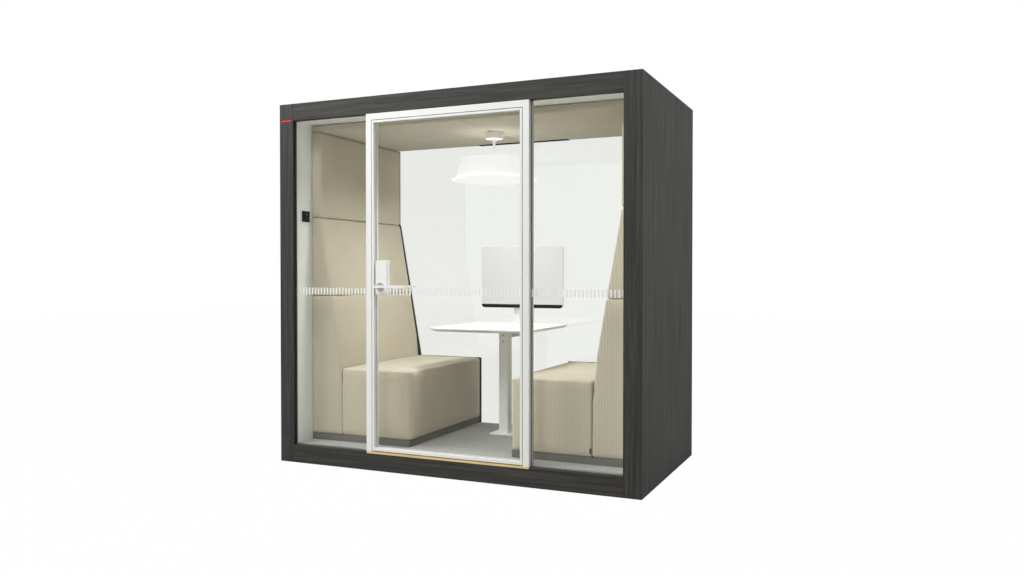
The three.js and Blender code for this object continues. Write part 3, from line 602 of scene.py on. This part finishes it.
# Panes and pins stay as the CAD has them and only get their material
plain = {
    "front_pane_left": frontGlass,
    "front_pane_right": frontGlass,
    "leaf_glass": frontGlass,
    "rear_pane": rearGlass,
    "upper_pivot_pin": brushedSteel,
    "lower_pivot_pin": brushedSteel,
}
for node, material in plain.items():
    kept = frame["nodes"][node].data
    kept.materials.clear()
    kept.materials.append(material)
print("stage: door, table, display and linings")


# Geometry Nodes trees for what repeats or follows a path
def startTree(name, inputs):
    tree = bpy.data.node_groups.new(name, "GeometryNodeTree")
    tree.interface.new_socket("Geometry", in_out="INPUT", socket_type="NodeSocketGeometry")
    for label, kind in inputs:
        tree.interface.new_socket(label, in_out="INPUT", socket_type="NodeSocket" + kind)
    tree.interface.new_socket("Geometry", in_out="OUTPUT", socket_type="NodeSocketGeometry")
    return tree, addNode(tree, "NodeGroupInput").outputs


def endTree(tree, given, shape):
    whole = addNode(tree, "GeometryNodeRealizeInstances", links={0: shape})
    painted = addNode(
        tree,
        "GeometryNodeSetMaterial",
        links={"Geometry": whole.outputs[0], "Material": given["Material"]},
    )
    addNode(tree, "NodeGroupOutput", links={0: painted.outputs[0]})
    return tree


def grownPiece(name, tree, values):
    piece = newPiece(name, bpy.data.meshes.new(name))
    modifier = piece.modifiers.new("grow", "NODES")
    modifier.node_group = tree
    for item in tree.interface.items_tree:
        if item.in_out == "INPUT" and item.name in values:
            modifier[item.identifier] = values[item.name]
    return settle(piece)


def rowTree():
    tree, given = startTree(
        "bar row",
        [("First", "Vector"), ("Step", "Vector"), ("Count", "Int"), ("Size", "Vector"), ("Material", "Material")],
    )
    line = addNode(
        tree,
        "GeometryNodeMeshLine",
        {"mode": "OFFSET"},
        {"Count": given["Count"], "Start Location": given["First"], "Offset": given["Step"]},
    )
    bar = addNode(tree, "GeometryNodeMeshCube", links={"Size": given["Size"]})
    placed = addNode(
        tree,
        "GeometryNodeInstanceOnPoints",
        links={"Points": line.outputs[0], "Instance": bar.outputs[0]},
    )
    return endTree(tree, given, placed.outputs[0])


def screwTree():
    tree, given = startTree(
        "pan head screws",
        [
            ("First", "Vector"),
            ("Step", "Vector"),
            ("Count", "Int"),
            ("Radius", "Float"),
            ("Height", "Float"),
            ("Turn", "Vector"),
            ("Material", "Material"),
        ],
    )
    line = addNode(
        tree,
        "GeometryNodeMeshLine",
        {"mode": "OFFSET"},
        {"Count": given["Count"], "Start Location": given["First"], "Offset": given["Step"]},
    )
    flange = addNode(
        tree,
        "GeometryNodeMeshCylinder",
        links={"Vertices": 20, "Radius": given["Radius"], "Depth": given["Height"]},
    )
    dome = addNode(tree, "GeometryNodeMeshUVSphere", links={"Segments": 20, "Rings": 8, "Radius": given["Radius"]})
    squashed = addNode(tree, "GeometryNodeTransform", links={"Geometry": dome.outputs[0], "Scale": (0.82, 0.82, 0.5)})
    head = addNode(tree, "GeometryNodeJoinGeometry")
    for part in (flange, squashed):
        tree.links.new(part.outputs[0], head.inputs[0])
    placed = addNode(
        tree,
        "GeometryNodeInstanceOnPoints",
        links={"Points": line.outputs[0], "Instance": head.outputs[0], "Rotation": given["Turn"]},
    )
    return endTree(tree, given, placed.outputs[0])


def beadTree():
    tree, given = startTree(
        "glazing bead",
        [
            ("Width", "Float"),
            ("Height", "Float"),
            ("Face", "Float"),
            ("Depth", "Float"),
            ("Centre", "Vector"),
            ("Material", "Material"),
        ],
    )
    path = addNode(
        tree,
        "GeometryNodeCurvePrimitiveQuadrilateral",
        {"mode": "RECTANGLE"},
        {"Width": given["Width"], "Height": given["Height"]},
    )
    section = addNode(
        tree,
        "GeometryNodeCurvePrimitiveQuadrilateral",
        {"mode": "RECTANGLE"},
        {"Width": given["Face"], "Height": given["Depth"]},
    )
    swept = addNode(
        tree,
        "GeometryNodeCurveToMesh",
        links={"Curve": path.outputs[0], "Profile Curve": section.outputs[0]},
    )
    upright = addNode(
        tree,
        "GeometryNodeTransform",
        links={"Geometry": swept.outputs[0], "Translation": given["Centre"], "Rotation": (math.pi / 2, 0, 0)},
    )
    return endTree(tree, given, upright.outputs[0])


def guardTree():
    tree, given = startTree(
        "finger guard",
        [
            ("Rings", "Int"),
            ("Pitch", "Float"),
            ("Spokes", "Int"),
            ("Reach", "Float"),
            ("Wire", "Float"),
            ("Centre", "Vector"),
            ("Material", "Material"),
        ],
    )
    dots = addNode(tree, "GeometryNodePoints", links={"Count": given["Rings"]})
    order = addNode(tree, "GeometryNodeInputIndex").outputs[0]
    number = addNode(tree, "ShaderNodeMath", {"operation": "ADD"}, {0: order, 1: 1.0})
    radius = addNode(tree, "ShaderNodeMath", {"operation": "MULTIPLY"}, {0: number.outputs[0], 1: given["Pitch"]})
    circle = addNode(tree, "GeometryNodeCurvePrimitiveCircle", {"mode": "RADIUS"}, {"Resolution": 40, "Radius": 1.0})
    rings = addNode(
        tree,
        "GeometryNodeInstanceOnPoints",
        links={"Points": dots.outputs[0], "Instance": circle.outputs[0], "Scale": radius.outputs[0]},
    )
    spokeDots = addNode(tree, "GeometryNodePoints", links={"Count": given["Spokes"]})
    tipX = addNode(tree, "ShaderNodeCombineXYZ", links={0: given["Reach"]})
    spoke = addNode(tree, "GeometryNodeCurvePrimitiveLine", links={"Start": (0, 0, 0), "End": tipX.outputs[0]})
    share = addNode(tree, "ShaderNodeMath", {"operation": "DIVIDE"}, {0: order, 1: given["Spokes"]})
    angle = addNode(tree, "ShaderNodeMath", {"operation": "MULTIPLY"}, {0: share.outputs[0], 1: 2 * math.pi})
    turn = addNode(tree, "ShaderNodeCombineXYZ", links={2: angle.outputs[0]})
    spokes = addNode(
        tree,
        "GeometryNodeInstanceOnPoints",
        links={"Points": spokeDots.outputs[0], "Instance": spoke.outputs[0], "Rotation": turn.outputs[0]},
    )
    both = addNode(tree, "GeometryNodeJoinGeometry")
    for part in (rings, spokes):
        tree.links.new(part.outputs[0], both.inputs[0])
    curves = addNode(tree, "GeometryNodeRealizeInstances", links={0: both.outputs[0]})
    wire = addNode(
        tree,
        "GeometryNodeCurvePrimitiveCircle",
        {"mode": "RADIUS"},
        {"Resolution": 8, "Radius": given["Wire"]},
    )
    swept = addNode(
        tree,
        "GeometryNodeCurveToMesh",
        links={"Curve": curves.outputs[0], "Profile Curve": wire.outputs[0], "Fill Caps": True},
    )
    placed = addNode(
        tree,
        "GeometryNodeTransform",
        links={"Geometry": swept.outputs[0], "Translation": given["Centre"]},
    )
    return endTree(tree, given, placed.outputs[0])


rows = rowTree()
screws = screwTree()
beads = beadTree()
guards = guardTree()

# A band of short white bars on the glass, a little above the lever, so that people see the panes
barBand = {"foot": 1.080, "height": 0.044, "pitch": 0.0232, "width": 0.0105, "film": 0.0003, "fromLock": 0.006}


def bandOn(name, fromX, toX, faceY, body):
    count = int((toX - fromX - barBand["width"]) / barBand["pitch"]) + 1
    slack = (toX - fromX - (count - 1) * barBand["pitch"]) / 2
    piece = grownPiece(
        name,
        rows,
        {
            "First": (fromX + slack, faceY - barBand["film"] / 2, barBand["foot"] + barBand["height"] / 2),
            "Step": (barBand["pitch"], 0, 0),
            "Count": count,
            "Size": (barBand["width"], barBand["film"], barBand["height"]),
            "Material": whiteVinylPaintedGlow,
        },
    )
    return finishPiece(piece, whiteVinylPaintedGlow, body)


lockLow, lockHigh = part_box("lock_case")
leafLow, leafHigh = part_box("leaf_glass")
leafRebate = 0.008
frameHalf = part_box("door_jamb_right")[1].x
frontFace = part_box("front_pane_left")[0].y
bandOn("glass_bars_left", -innerX, -frameHalf, frontFace, "casing")
bandOn("glass_bars_right", frameHalf, innerX, frontFace, "casing")
bandOn("glass_bars_door", lockHigh.x + barBand["fromLock"], leafHigh.x - leafRebate, leafLow.y, "door_leaf")

# Rubber beads round the glass
beadPlan = {"face": 0.004, "depth": 0.003}


def beadRound(name, low, high, faceY, outward, body, rubber=blackEpdm):
    face, depth = beadPlan["face"], beadPlan["depth"]
    piece = grownPiece(
        name,
        beads,
        {
            "Width": high[0] - low[0] - face,
            "Height": high[1] - low[1] - face,
            "Face": face,
            "Depth": depth,
            "Centre": ((low[0] + high[0]) / 2, faceY + outward * depth / 2, (low[1] + high[1]) / 2),
            "Material": rubber,
        },
    )
    return finishPiece(piece, rubber, body)


openFoot, openHead = bottomRailTop, topRailFoot
beadRound("pane_bead_left", (-innerX, openFoot), (-frameHalf, openHead), frontFace, -1, "casing", charcoalEpdm)
beadRound("pane_bead_right", (frameHalf, openFoot), (innerX, openHead), frontFace, -1, "casing", charcoalEpdm)
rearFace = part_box("rear_pane")[1].y
beadRound("rear_bead", (-innerX, openFoot), (innerX, openHead), rearFace, 1, "casing")
leafFoot = (leafLow.x + leafRebate, leafLow.z + leafRebate)
leafHead = (leafHigh.x - leafRebate, leafHigh.z - leafRebate)
beadRound("leaf_bead_outside", leafFoot, leafHead, leafLow.y, -1, "door_leaf", greyEpdm)
beadRound("leaf_bead_inside", leafFoot, leafHead, leafHigh.y, 1, "door_leaf", greyEpdm)

# A thin black strip over the returns of the front stiles
returnStrip = {"thickness": 0.0012, "setback": 0.0015, "easeMm": 0.3}
stileLow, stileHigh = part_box("front_stile_right")
for side, sign in zip(sideNames, (-1, 1)):
    outer, inner = sign * innerX, sign * (innerX - returnStrip["thickness"])
    low = (min(outer, inner), stileLow.y + returnStrip["setback"], openFoot)
    high = (max(outer, inner), stileHigh.y - beadPlan["depth"], openHead)
    strip = newPiece("black_return_strip_" + side, boxMesh("black_return_strip_" + side, low, high))
    easeEdges(strip, returnStrip["easeMm"])
    finishPiece(strip, blackEpdm, "casing")

# Screws: two in the face of the column and two in each side of the beam
screwPlan = {
    "radius": 0.0045,
    "height": 0.002,
    "proud": 0.0008,
    "columnDepth": 0.070,
    "columnZ": 0.752,
    "columnStep": (0, 0, 0.043),
    "beamIn": 0.022,
    "beamZ": 0.807,
    "beamStep": (0, 0.046, 0),
}
beamLow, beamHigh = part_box("table_beam")
proud, beamY = screwPlan["proud"], beamLow.y + screwPlan["beamIn"]
columnY = beamLow.y - screwPlan["columnDepth"] - proud
quarter = math.pi / 2
screwSets = [
    ("column_screws", (0, columnY, screwPlan["columnZ"]), screwPlan["columnStep"], (quarter, 0, 0)),
    ("beam_screws_right", (beamHigh.x + proud, beamY, screwPlan["beamZ"]), screwPlan["beamStep"], (0, quarter, 0)),
    ("beam_screws_left", (beamLow.x - proud, beamY, screwPlan["beamZ"]), screwPlan["beamStep"], (0, -quarter, 0)),
]
for name, first, step, turn in screwSets:
    piece = grownPiece(
        name,
        screws,
        {
            "First": first,
            "Step": step,
            "Count": 2,
            "Radius": screwPlan["radius"],
            "Height": screwPlan["height"],
            "Turn": turn,
            "Material": blackOxide,
        },
    )
    finishPiece(piece, blackOxide, "casing")

# Wire guard in the roof outlet over the fan
guardPlan = {"rings": 5, "pitch": 0.0118, "spokes": 6, "reach": 0.0645, "wire": 0.0011, "below": 0.004}
fanLow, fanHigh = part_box("fan_housing")
fanMiddle = ((fanLow.x + fanHigh.x) / 2, (fanLow.y + fanHigh.y) / 2)
guard = grownPiece(
    "fan_guard",
    guards,
    {
        "Rings": guardPlan["rings"],
        "Pitch": guardPlan["pitch"],
        "Spokes": guardPlan["spokes"],
        "Reach": guardPlan["reach"],
        "Wire": guardPlan["wire"],
        "Centre": (*fanMiddle, rearHigh.z - guardPlan["below"]),
        "Material": brushedSteel,
    },
)
finishPiece(guard, brushedSteel, "casing")
print("stage: bars on the glass, beads, screws and guard")

# Satin covers on the roses of both levers
roseCover = {
    "fromLockEdge": 0.034,
    "aboveLockFoot": 0.047,
    "roseThickness": 0.0059,
    "bore": 0.0094,
    "radius": 0.0262,
    "thickness": 0.0018,
    "chamfer": (0.0008, 0.0006),
    "segments": 48,
}
bore, coverRadius, coverTop = roseCover["bore"], roseCover["radius"], roseCover["thickness"]
coverProfile = [
    (bore, 0),
    (coverRadius, 0),
    (coverRadius, coverTop - roseCover["chamfer"][1]),
    (coverRadius - roseCover["chamfer"][0], coverTop),
    (bore, coverTop),
]
for name, faceY, outward in (("outside_rose", lockLow.y, -1), ("inside_rose", lockHigh.y, 1)):
    mesh = turnedMesh(name, coverProfile, (0, 0), roseCover["segments"])
    place = (
        lockLow.x + roseCover["fromLockEdge"],
        faceY + outward * roseCover["roseThickness"],
        lockLow.z + roseCover["aboveLockFoot"],
    )
    mesh.transform(Matrix.Translation(place) @ Matrix.Rotation(-outward * quarter, 4, "X"))
    finishPiece(newPiece(name, mesh), satinAluminium, "door_lever")

# Key marks: a dot for the light and a line for the fan
keyMarks = {"raise": 0.0004, "dot": 0.0042, "dotTop": 0.9, "dotSegments": 24, "line": (0.014, 0.0022)}
dot, proudBy = keyMarks["dot"], keyMarks["raise"]
dotProfile = [(0, 0), (dot, 0), (dot * keyMarks["dotTop"], proudBy), (0, proudBy)]
for node in ("light_key", "fan_key"):
    low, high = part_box(node)
    middleY, middleZ = (low.y + high.y) / 2, (low.z + high.z) / 2
    name = node + "_mark"
    if node == "light_key":
        mark = turnedMesh(name, dotProfile, (0, 0), keyMarks["dotSegments"])
        mark.transform(Matrix.Translation((high.x, middleY, middleZ)) @ Matrix.Rotation(quarter, 4, "Y"))
    else:
        length, height = keyMarks["line"]
        mark = boxMesh(
            name,
            (high.x, middleY - length / 2, middleZ - height / 2),
            (high.x + proudBy, middleY + length / 2, middleZ + height / 2),
        )
    finishPiece(newPiece(name, mark), greyAbs, bodyOf[node])

# Pendant lamp: canopy and rod in white, a tapered drum over a wide shallow rim
lampPlan = {
    "stemSegments": 64,
    "canopyHeight": 0.044,
    "canopyEdge": 0.004,
    "canopyEase": (0.001, 0.002),
    "collar": {"radius": 0.013, "height": 0.012, "taper": 0.002},
    "rodRadius": 0.0085,
    "hub": {"radius": 0.042, "ease": 0.002, "height": 0.0135, "shoulder": 0.0120, "side": 0.0095},
    "shadeSegments": 128,
    "drumFootHeight": 0.013,
    "drumInside": 0.2520,
    "lightGap": 0.004,
    "groove": 0.0035,
}
stemLow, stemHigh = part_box("lamp_stem")
shadeLow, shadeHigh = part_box("lamp_shade")
lampMiddle = ((shadeLow.x + shadeHigh.x) / 2, (shadeLow.y + shadeHigh.y) / 2)
canopyRadius = (stemHigh.x - stemLow.x) / 2
canopyFoot = stemHigh.z - lampPlan["canopyHeight"]
edge, collar, hub, rod = (lampPlan[key] for key in ("canopyEdge", "collar", "hub", "rodRadius"))
stemProfile = [
    (0, stemHigh.z),
    (canopyRadius - lampPlan["canopyEase"][0], stemHigh.z),
    (canopyRadius, stemHigh.z - lampPlan["canopyEase"][1]),
    (canopyRadius, canopyFoot + edge),
    (canopyRadius - edge * 0.3, canopyFoot + edge * 0.3),
    (canopyRadius - edge, canopyFoot),
    (collar["radius"], canopyFoot),
    (collar["radius"], canopyFoot - collar["height"]),
    (rod, canopyFoot - collar["height"] - collar["taper"]),
    (rod, stemLow.z + hub["height"]),
    (hub["radius"] - hub["ease"], stemLow.z + hub["shoulder"]),
    (hub["radius"], stemLow.z + hub["side"]),
    (hub["radius"], stemLow.z),
    (0, stemLow.z),
]
stemMesh = turnedMesh("lamp_stem_turned", stemProfile, lampMiddle, lampPlan["stemSegments"])
finishPiece(newPiece("lamp_stem_turned", stemMesh), whitePowderCoat, "casing", ["lamp_stem"])

# The drum's section runs from its top edge down inside, round the rim and up past a groove. Rim points are distances
# in from the rim and up from its foot; the others are a radius with a depth below the top or a share of the groove.
rimRadius = (shadeHigh.x - shadeLow.x) / 2
drumFoot = shadeLow.z + lampPlan["drumFootHeight"]
groove = lampPlan["groove"]
topInside = [(0.2125, 0), (0.2105, 0.0012)]
topOutside = [(0.2143, 0.0010), (0.2136, 0)]
rimPoints = [
    (0.0104, 0.0058),
    (0.0104, 0.0008),
    (0.0090, 0),
    (0.0030, 0),
    (0.0006, 0.0016),
    (0, 0.0040),
    (0.0012, 0.0066),
]
groovePoints = [(0.2560, -1), (0.2535, -0.7), (0.2535, 0.3), (0.2560, 0.6)]
shadeProfile = (
    [(radius, shadeHigh.z - down) for radius, down in topInside]
    + [(lampPlan["drumInside"], drumFoot)]
    + [(rimRadius - inward, shadeLow.z + up) for inward, up in rimPoints]
    + [(radius, drumFoot + groove * share) for radius, share in groovePoints]
    + [(radius, shadeHigh.z - down) for radius, down in topOutside]
)
shadeMesh = turnedMesh("lamp_drum", shadeProfile, lampMiddle, lampPlan["shadeSegments"])
finishPiece(newPiece("lamp_drum", shadeMesh), opalShade, "casing", ["lamp_shade"])

# The lamp's own light: from the diffuser down, and a little out of the open top
lightGap = lampPlan["lightGap"]
lampLights = [
    {"name": "pendantDown", "watts": 14.0, "radius": 0.24, "height": shadeLow.z - lightGap, "turn": 0.0},
    {"name": "pendantUp", "watts": 0.35, "radius": 0.18, "height": shadeHigh.z + lightGap, "turn": math.pi},
]
for entry in lampLights:
    lampData = bpy.data.lights.new(entry["name"], "AREA")
    lampData.shape = "DISK"
    lampData.size = entry["radius"] * 2
    lampData.energy = entry["watts"]
    pendant = bpy.data.objects.new(entry["name"], lampData)
    pendant.location = (*lampMiddle, entry["height"])
    pendant.rotation_euler = (entry["turn"], 0, 0)
    pendant.visible_camera = False
    pendant.visible_glossy = False
    pendant.visible_transmission = False
    scene.collection.objects.link(pendant)
print("stage: roses, key marks and lamp")

# Carpet: looped pile whose top is uneven by about a millimetre
carpetPlan = {"cellMm": 11, "dip": 0.0012, "seed": 7, "notchGap": 0.0004, "underGap": 0.0005}
carpetLow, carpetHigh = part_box("carpet")
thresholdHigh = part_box("threshold")[1]


def carpetMesh(name):
    low, high = carpetLow, carpetHigh
    notchX = thresholdHigh.x + carpetPlan["notchGap"]
    notchY = thresholdHigh.y + carpetPlan["notchGap"]
    cell = carpetPlan["cellMm"] / 1000

    def spread(stops):
        values = []
        for start, stop in zip(stops, stops[1:]):
            steps = max(1, round((stop - start) / cell))
            values += [start + (stop - start) * i / steps for i in range(steps)]
        return values + [stops[-1]]

    xs = spread([low.x, -notchX, notchX, high.x])
    ys = spread([low.y, notchY, high.y])
    noise = np.random.default_rng(carpetPlan["seed"]).random((len(xs), len(ys)))
    shape = bmesh.new()
    grid = [
        [shape.verts.new((x, y, high.z - carpetPlan["dip"] * noise[i][j])) for j, y in enumerate(ys)]
        for i, x in enumerate(xs)
    ]
    for i in range(len(xs) - 1):
        for j in range(len(ys) - 1):
            middleX, middleY = (xs[i] + xs[i + 1]) / 2, (ys[j] + ys[j + 1]) / 2
            if abs(middleX) < notchX and middleY < notchY:
                continue
            shape.faces.new((grid[i][j], grid[i + 1][j], grid[i + 1][j + 1], grid[i][j + 1]))
    bmesh.ops.delete(shape, geom=[v for v in shape.verts if not v.link_faces], context="VERTS")
    mesh = bpy.data.meshes.new(name)
    shape.to_mesh(mesh)
    shape.free()
    return mesh


carpetCover = newPiece("carpet_pile", carpetMesh("carpet_pile"))
thick = carpetCover.modifiers.new("backing", "SOLIDIFY")
thick.thickness = carpetHigh.z - carpetLow.z - carpetPlan["dip"] - carpetPlan["underGap"]
thick.offset = -1
settle(carpetCover)
finishPiece(carpetCover, greyCarpet, "casing", ["carpet"], creases["pile"])
print("stage: carpet")

# Foam pads under stretched fabric: each starts a little full, is skinned afresh, swells under cloth pressure and
# is pressed flat where it meets its neighbours
padPlan = {
    "growMm": 2.0,
    "voxelMm": 8,
    "frames": 20,
    "capMm": 3,
    "nodes": ["wall_pad_left", "back_pad_upper_left", "back_pad_lower_left", "seat_left", "ceiling_pad"],
    "voxelOf": {"ceiling_pad": 13},
    "halfSeam": 0.0003,
    "cloth": {
        "quality": 4,
        "mass": 0.3,
        "tension_stiffness": 30,
        "compression_stiffness": 30,
        "shear_stiffness": 20,
        "bending_stiffness": 8,
        "use_pressure": True,
        "uniform_pressure_force": 2.0,
    },
    "softenFactor": 0.5,
    "softenRounds": 2,
}


def padBox(node):
    # the ceiling is sewn from two halves that meet at the middle
    low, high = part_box(node)
    if node == "ceiling_pad":
        high.x = -padPlan["halfSeam"]
    return low, high


def padBlank(node):
    low, high = padBox(node)
    middle, size = (low + high) / 2, high - low
    mesh = mergedMesh(node + "_cover", node, flatten=False)
    if node == "ceiling_pad":
        half = bmesh.new()
        half.from_mesh(mesh)
        sliced = bmesh.ops.bisect_plane(
            half,
            geom=half.verts[:] + half.edges[:] + half.faces[:],
            plane_co=(high.x, 0, 0),
            plane_no=(1, 0, 0),
            clear_outer=True,
        )
        rim = [item for item in sliced["geom_cut"] if isinstance(item, bmesh.types.BMEdge)]
        bmesh.ops.contextual_create(half, geom=rim)
        half.to_mesh(mesh)
        half.free()
    grow = 2 * padPlan["growMm"] / 1000
    scale = Matrix.Diagonal((*[(span + grow) / span for span in size], 1))
    mesh.transform(Matrix.Translation(middle) @ scale @ Matrix.Translation(-middle))
    piece = newPiece(node + "_cover", mesh)
    skin = piece.modifiers.new("skin", "REMESH")
    skin.mode = "VOXEL"
    skin.voxel_size = padPlan["voxelOf"].get(node, padPlan["voxelMm"]) / 1000
    return settle(piece)


def points(mesh):
    flat = np.empty(len(mesh.vertices) * 3, np.float32)
    mesh.vertices.foreach_get("co", flat)
    return flat.reshape(-1, 3)


def swellPads(pads):
    for piece in pads.values():
        cloth = piece.modifiers.new("swell", "CLOTH")
        for key, value in padPlan["cloth"].items():
            setattr(cloth.settings, key, value)
        cloth.settings.effector_weights.gravity = 0
        cloth.collision_settings.use_collision = False
        cloth.point_cache.frame_start = 1
        cloth.point_cache.frame_end = padPlan["frames"]
    for number in range(1, padPlan["frames"] + 1):
        scene.frame_set(number)
    graph = bpy.context.evaluated_depsgraph_get()
    for node, piece in pads.items():
        swollen = points(piece.evaluated_get(graph).data)
        rest = points(piece.data)
        move = swollen - rest
        reach = np.linalg.norm(move, axis=1, keepdims=True)
        cap = padPlan["capMm"] / 1000
        move *= np.minimum(1.0, cap / np.maximum(reach, 1e-9))
        low, high = padBox(node)
        settled = np.clip(rest + move, np.array(low), np.array(high))
        piece.modifiers.clear()
        piece.data.vertices.foreach_set("co", settled.astype(np.float32).ravel())
        piece.data.update()
    scene.frame_set(1)


def finishPad(piece, node):
    finishPiece(piece, beigeWeave, "casing", [node], creases["pad"])


padCovers = {node: padBlank(node) for node in padPlan["nodes"]}
swellPads(padCovers)
for node, piece in padCovers.items():
    soften = piece.modifiers.new("soften", "SMOOTH")
    soften.factor = padPlan["softenFactor"]
    soften.iterations = padPlan["softenRounds"]
    settle(piece)
    other = node.replace("_left", "_right")
    mesh = piece.data.copy()
    mesh.transform(Matrix.Diagonal((-1, 1, 1, 1)))
    mesh.flip_normals()
    finishPad(newPiece(other + "_cover_mirrored", mesh), other)
    finishPad(piece, node)
print("stage: pads")

# A plain grey tab on the front of the right seat, low beside its back
seatTab = {
    "middleX": 0.846,
    "foot": 0.182,
    "width": 0.010,
    "height": 0.030,
    "depth": 0.009,
    "setIn": 0.0005,
    "easeMm": 1.0,
}
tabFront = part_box("seat_right")[0].y + seatTab["setIn"]
tabLow = (seatTab["middleX"] - seatTab["width"] / 2, tabFront, seatTab["foot"])
tabHigh = (tabLow[0] + seatTab["width"], tabFront + seatTab["depth"], seatTab["foot"] + seatTab["height"])
tab = newPiece("seat_tab", boxMesh("seat_tab", tabLow, tabHigh))
easeEdges(tab, seatTab["easeMm"])
finishPiece(tab, greyRubber, "casing")

print("stage: ready to finish")
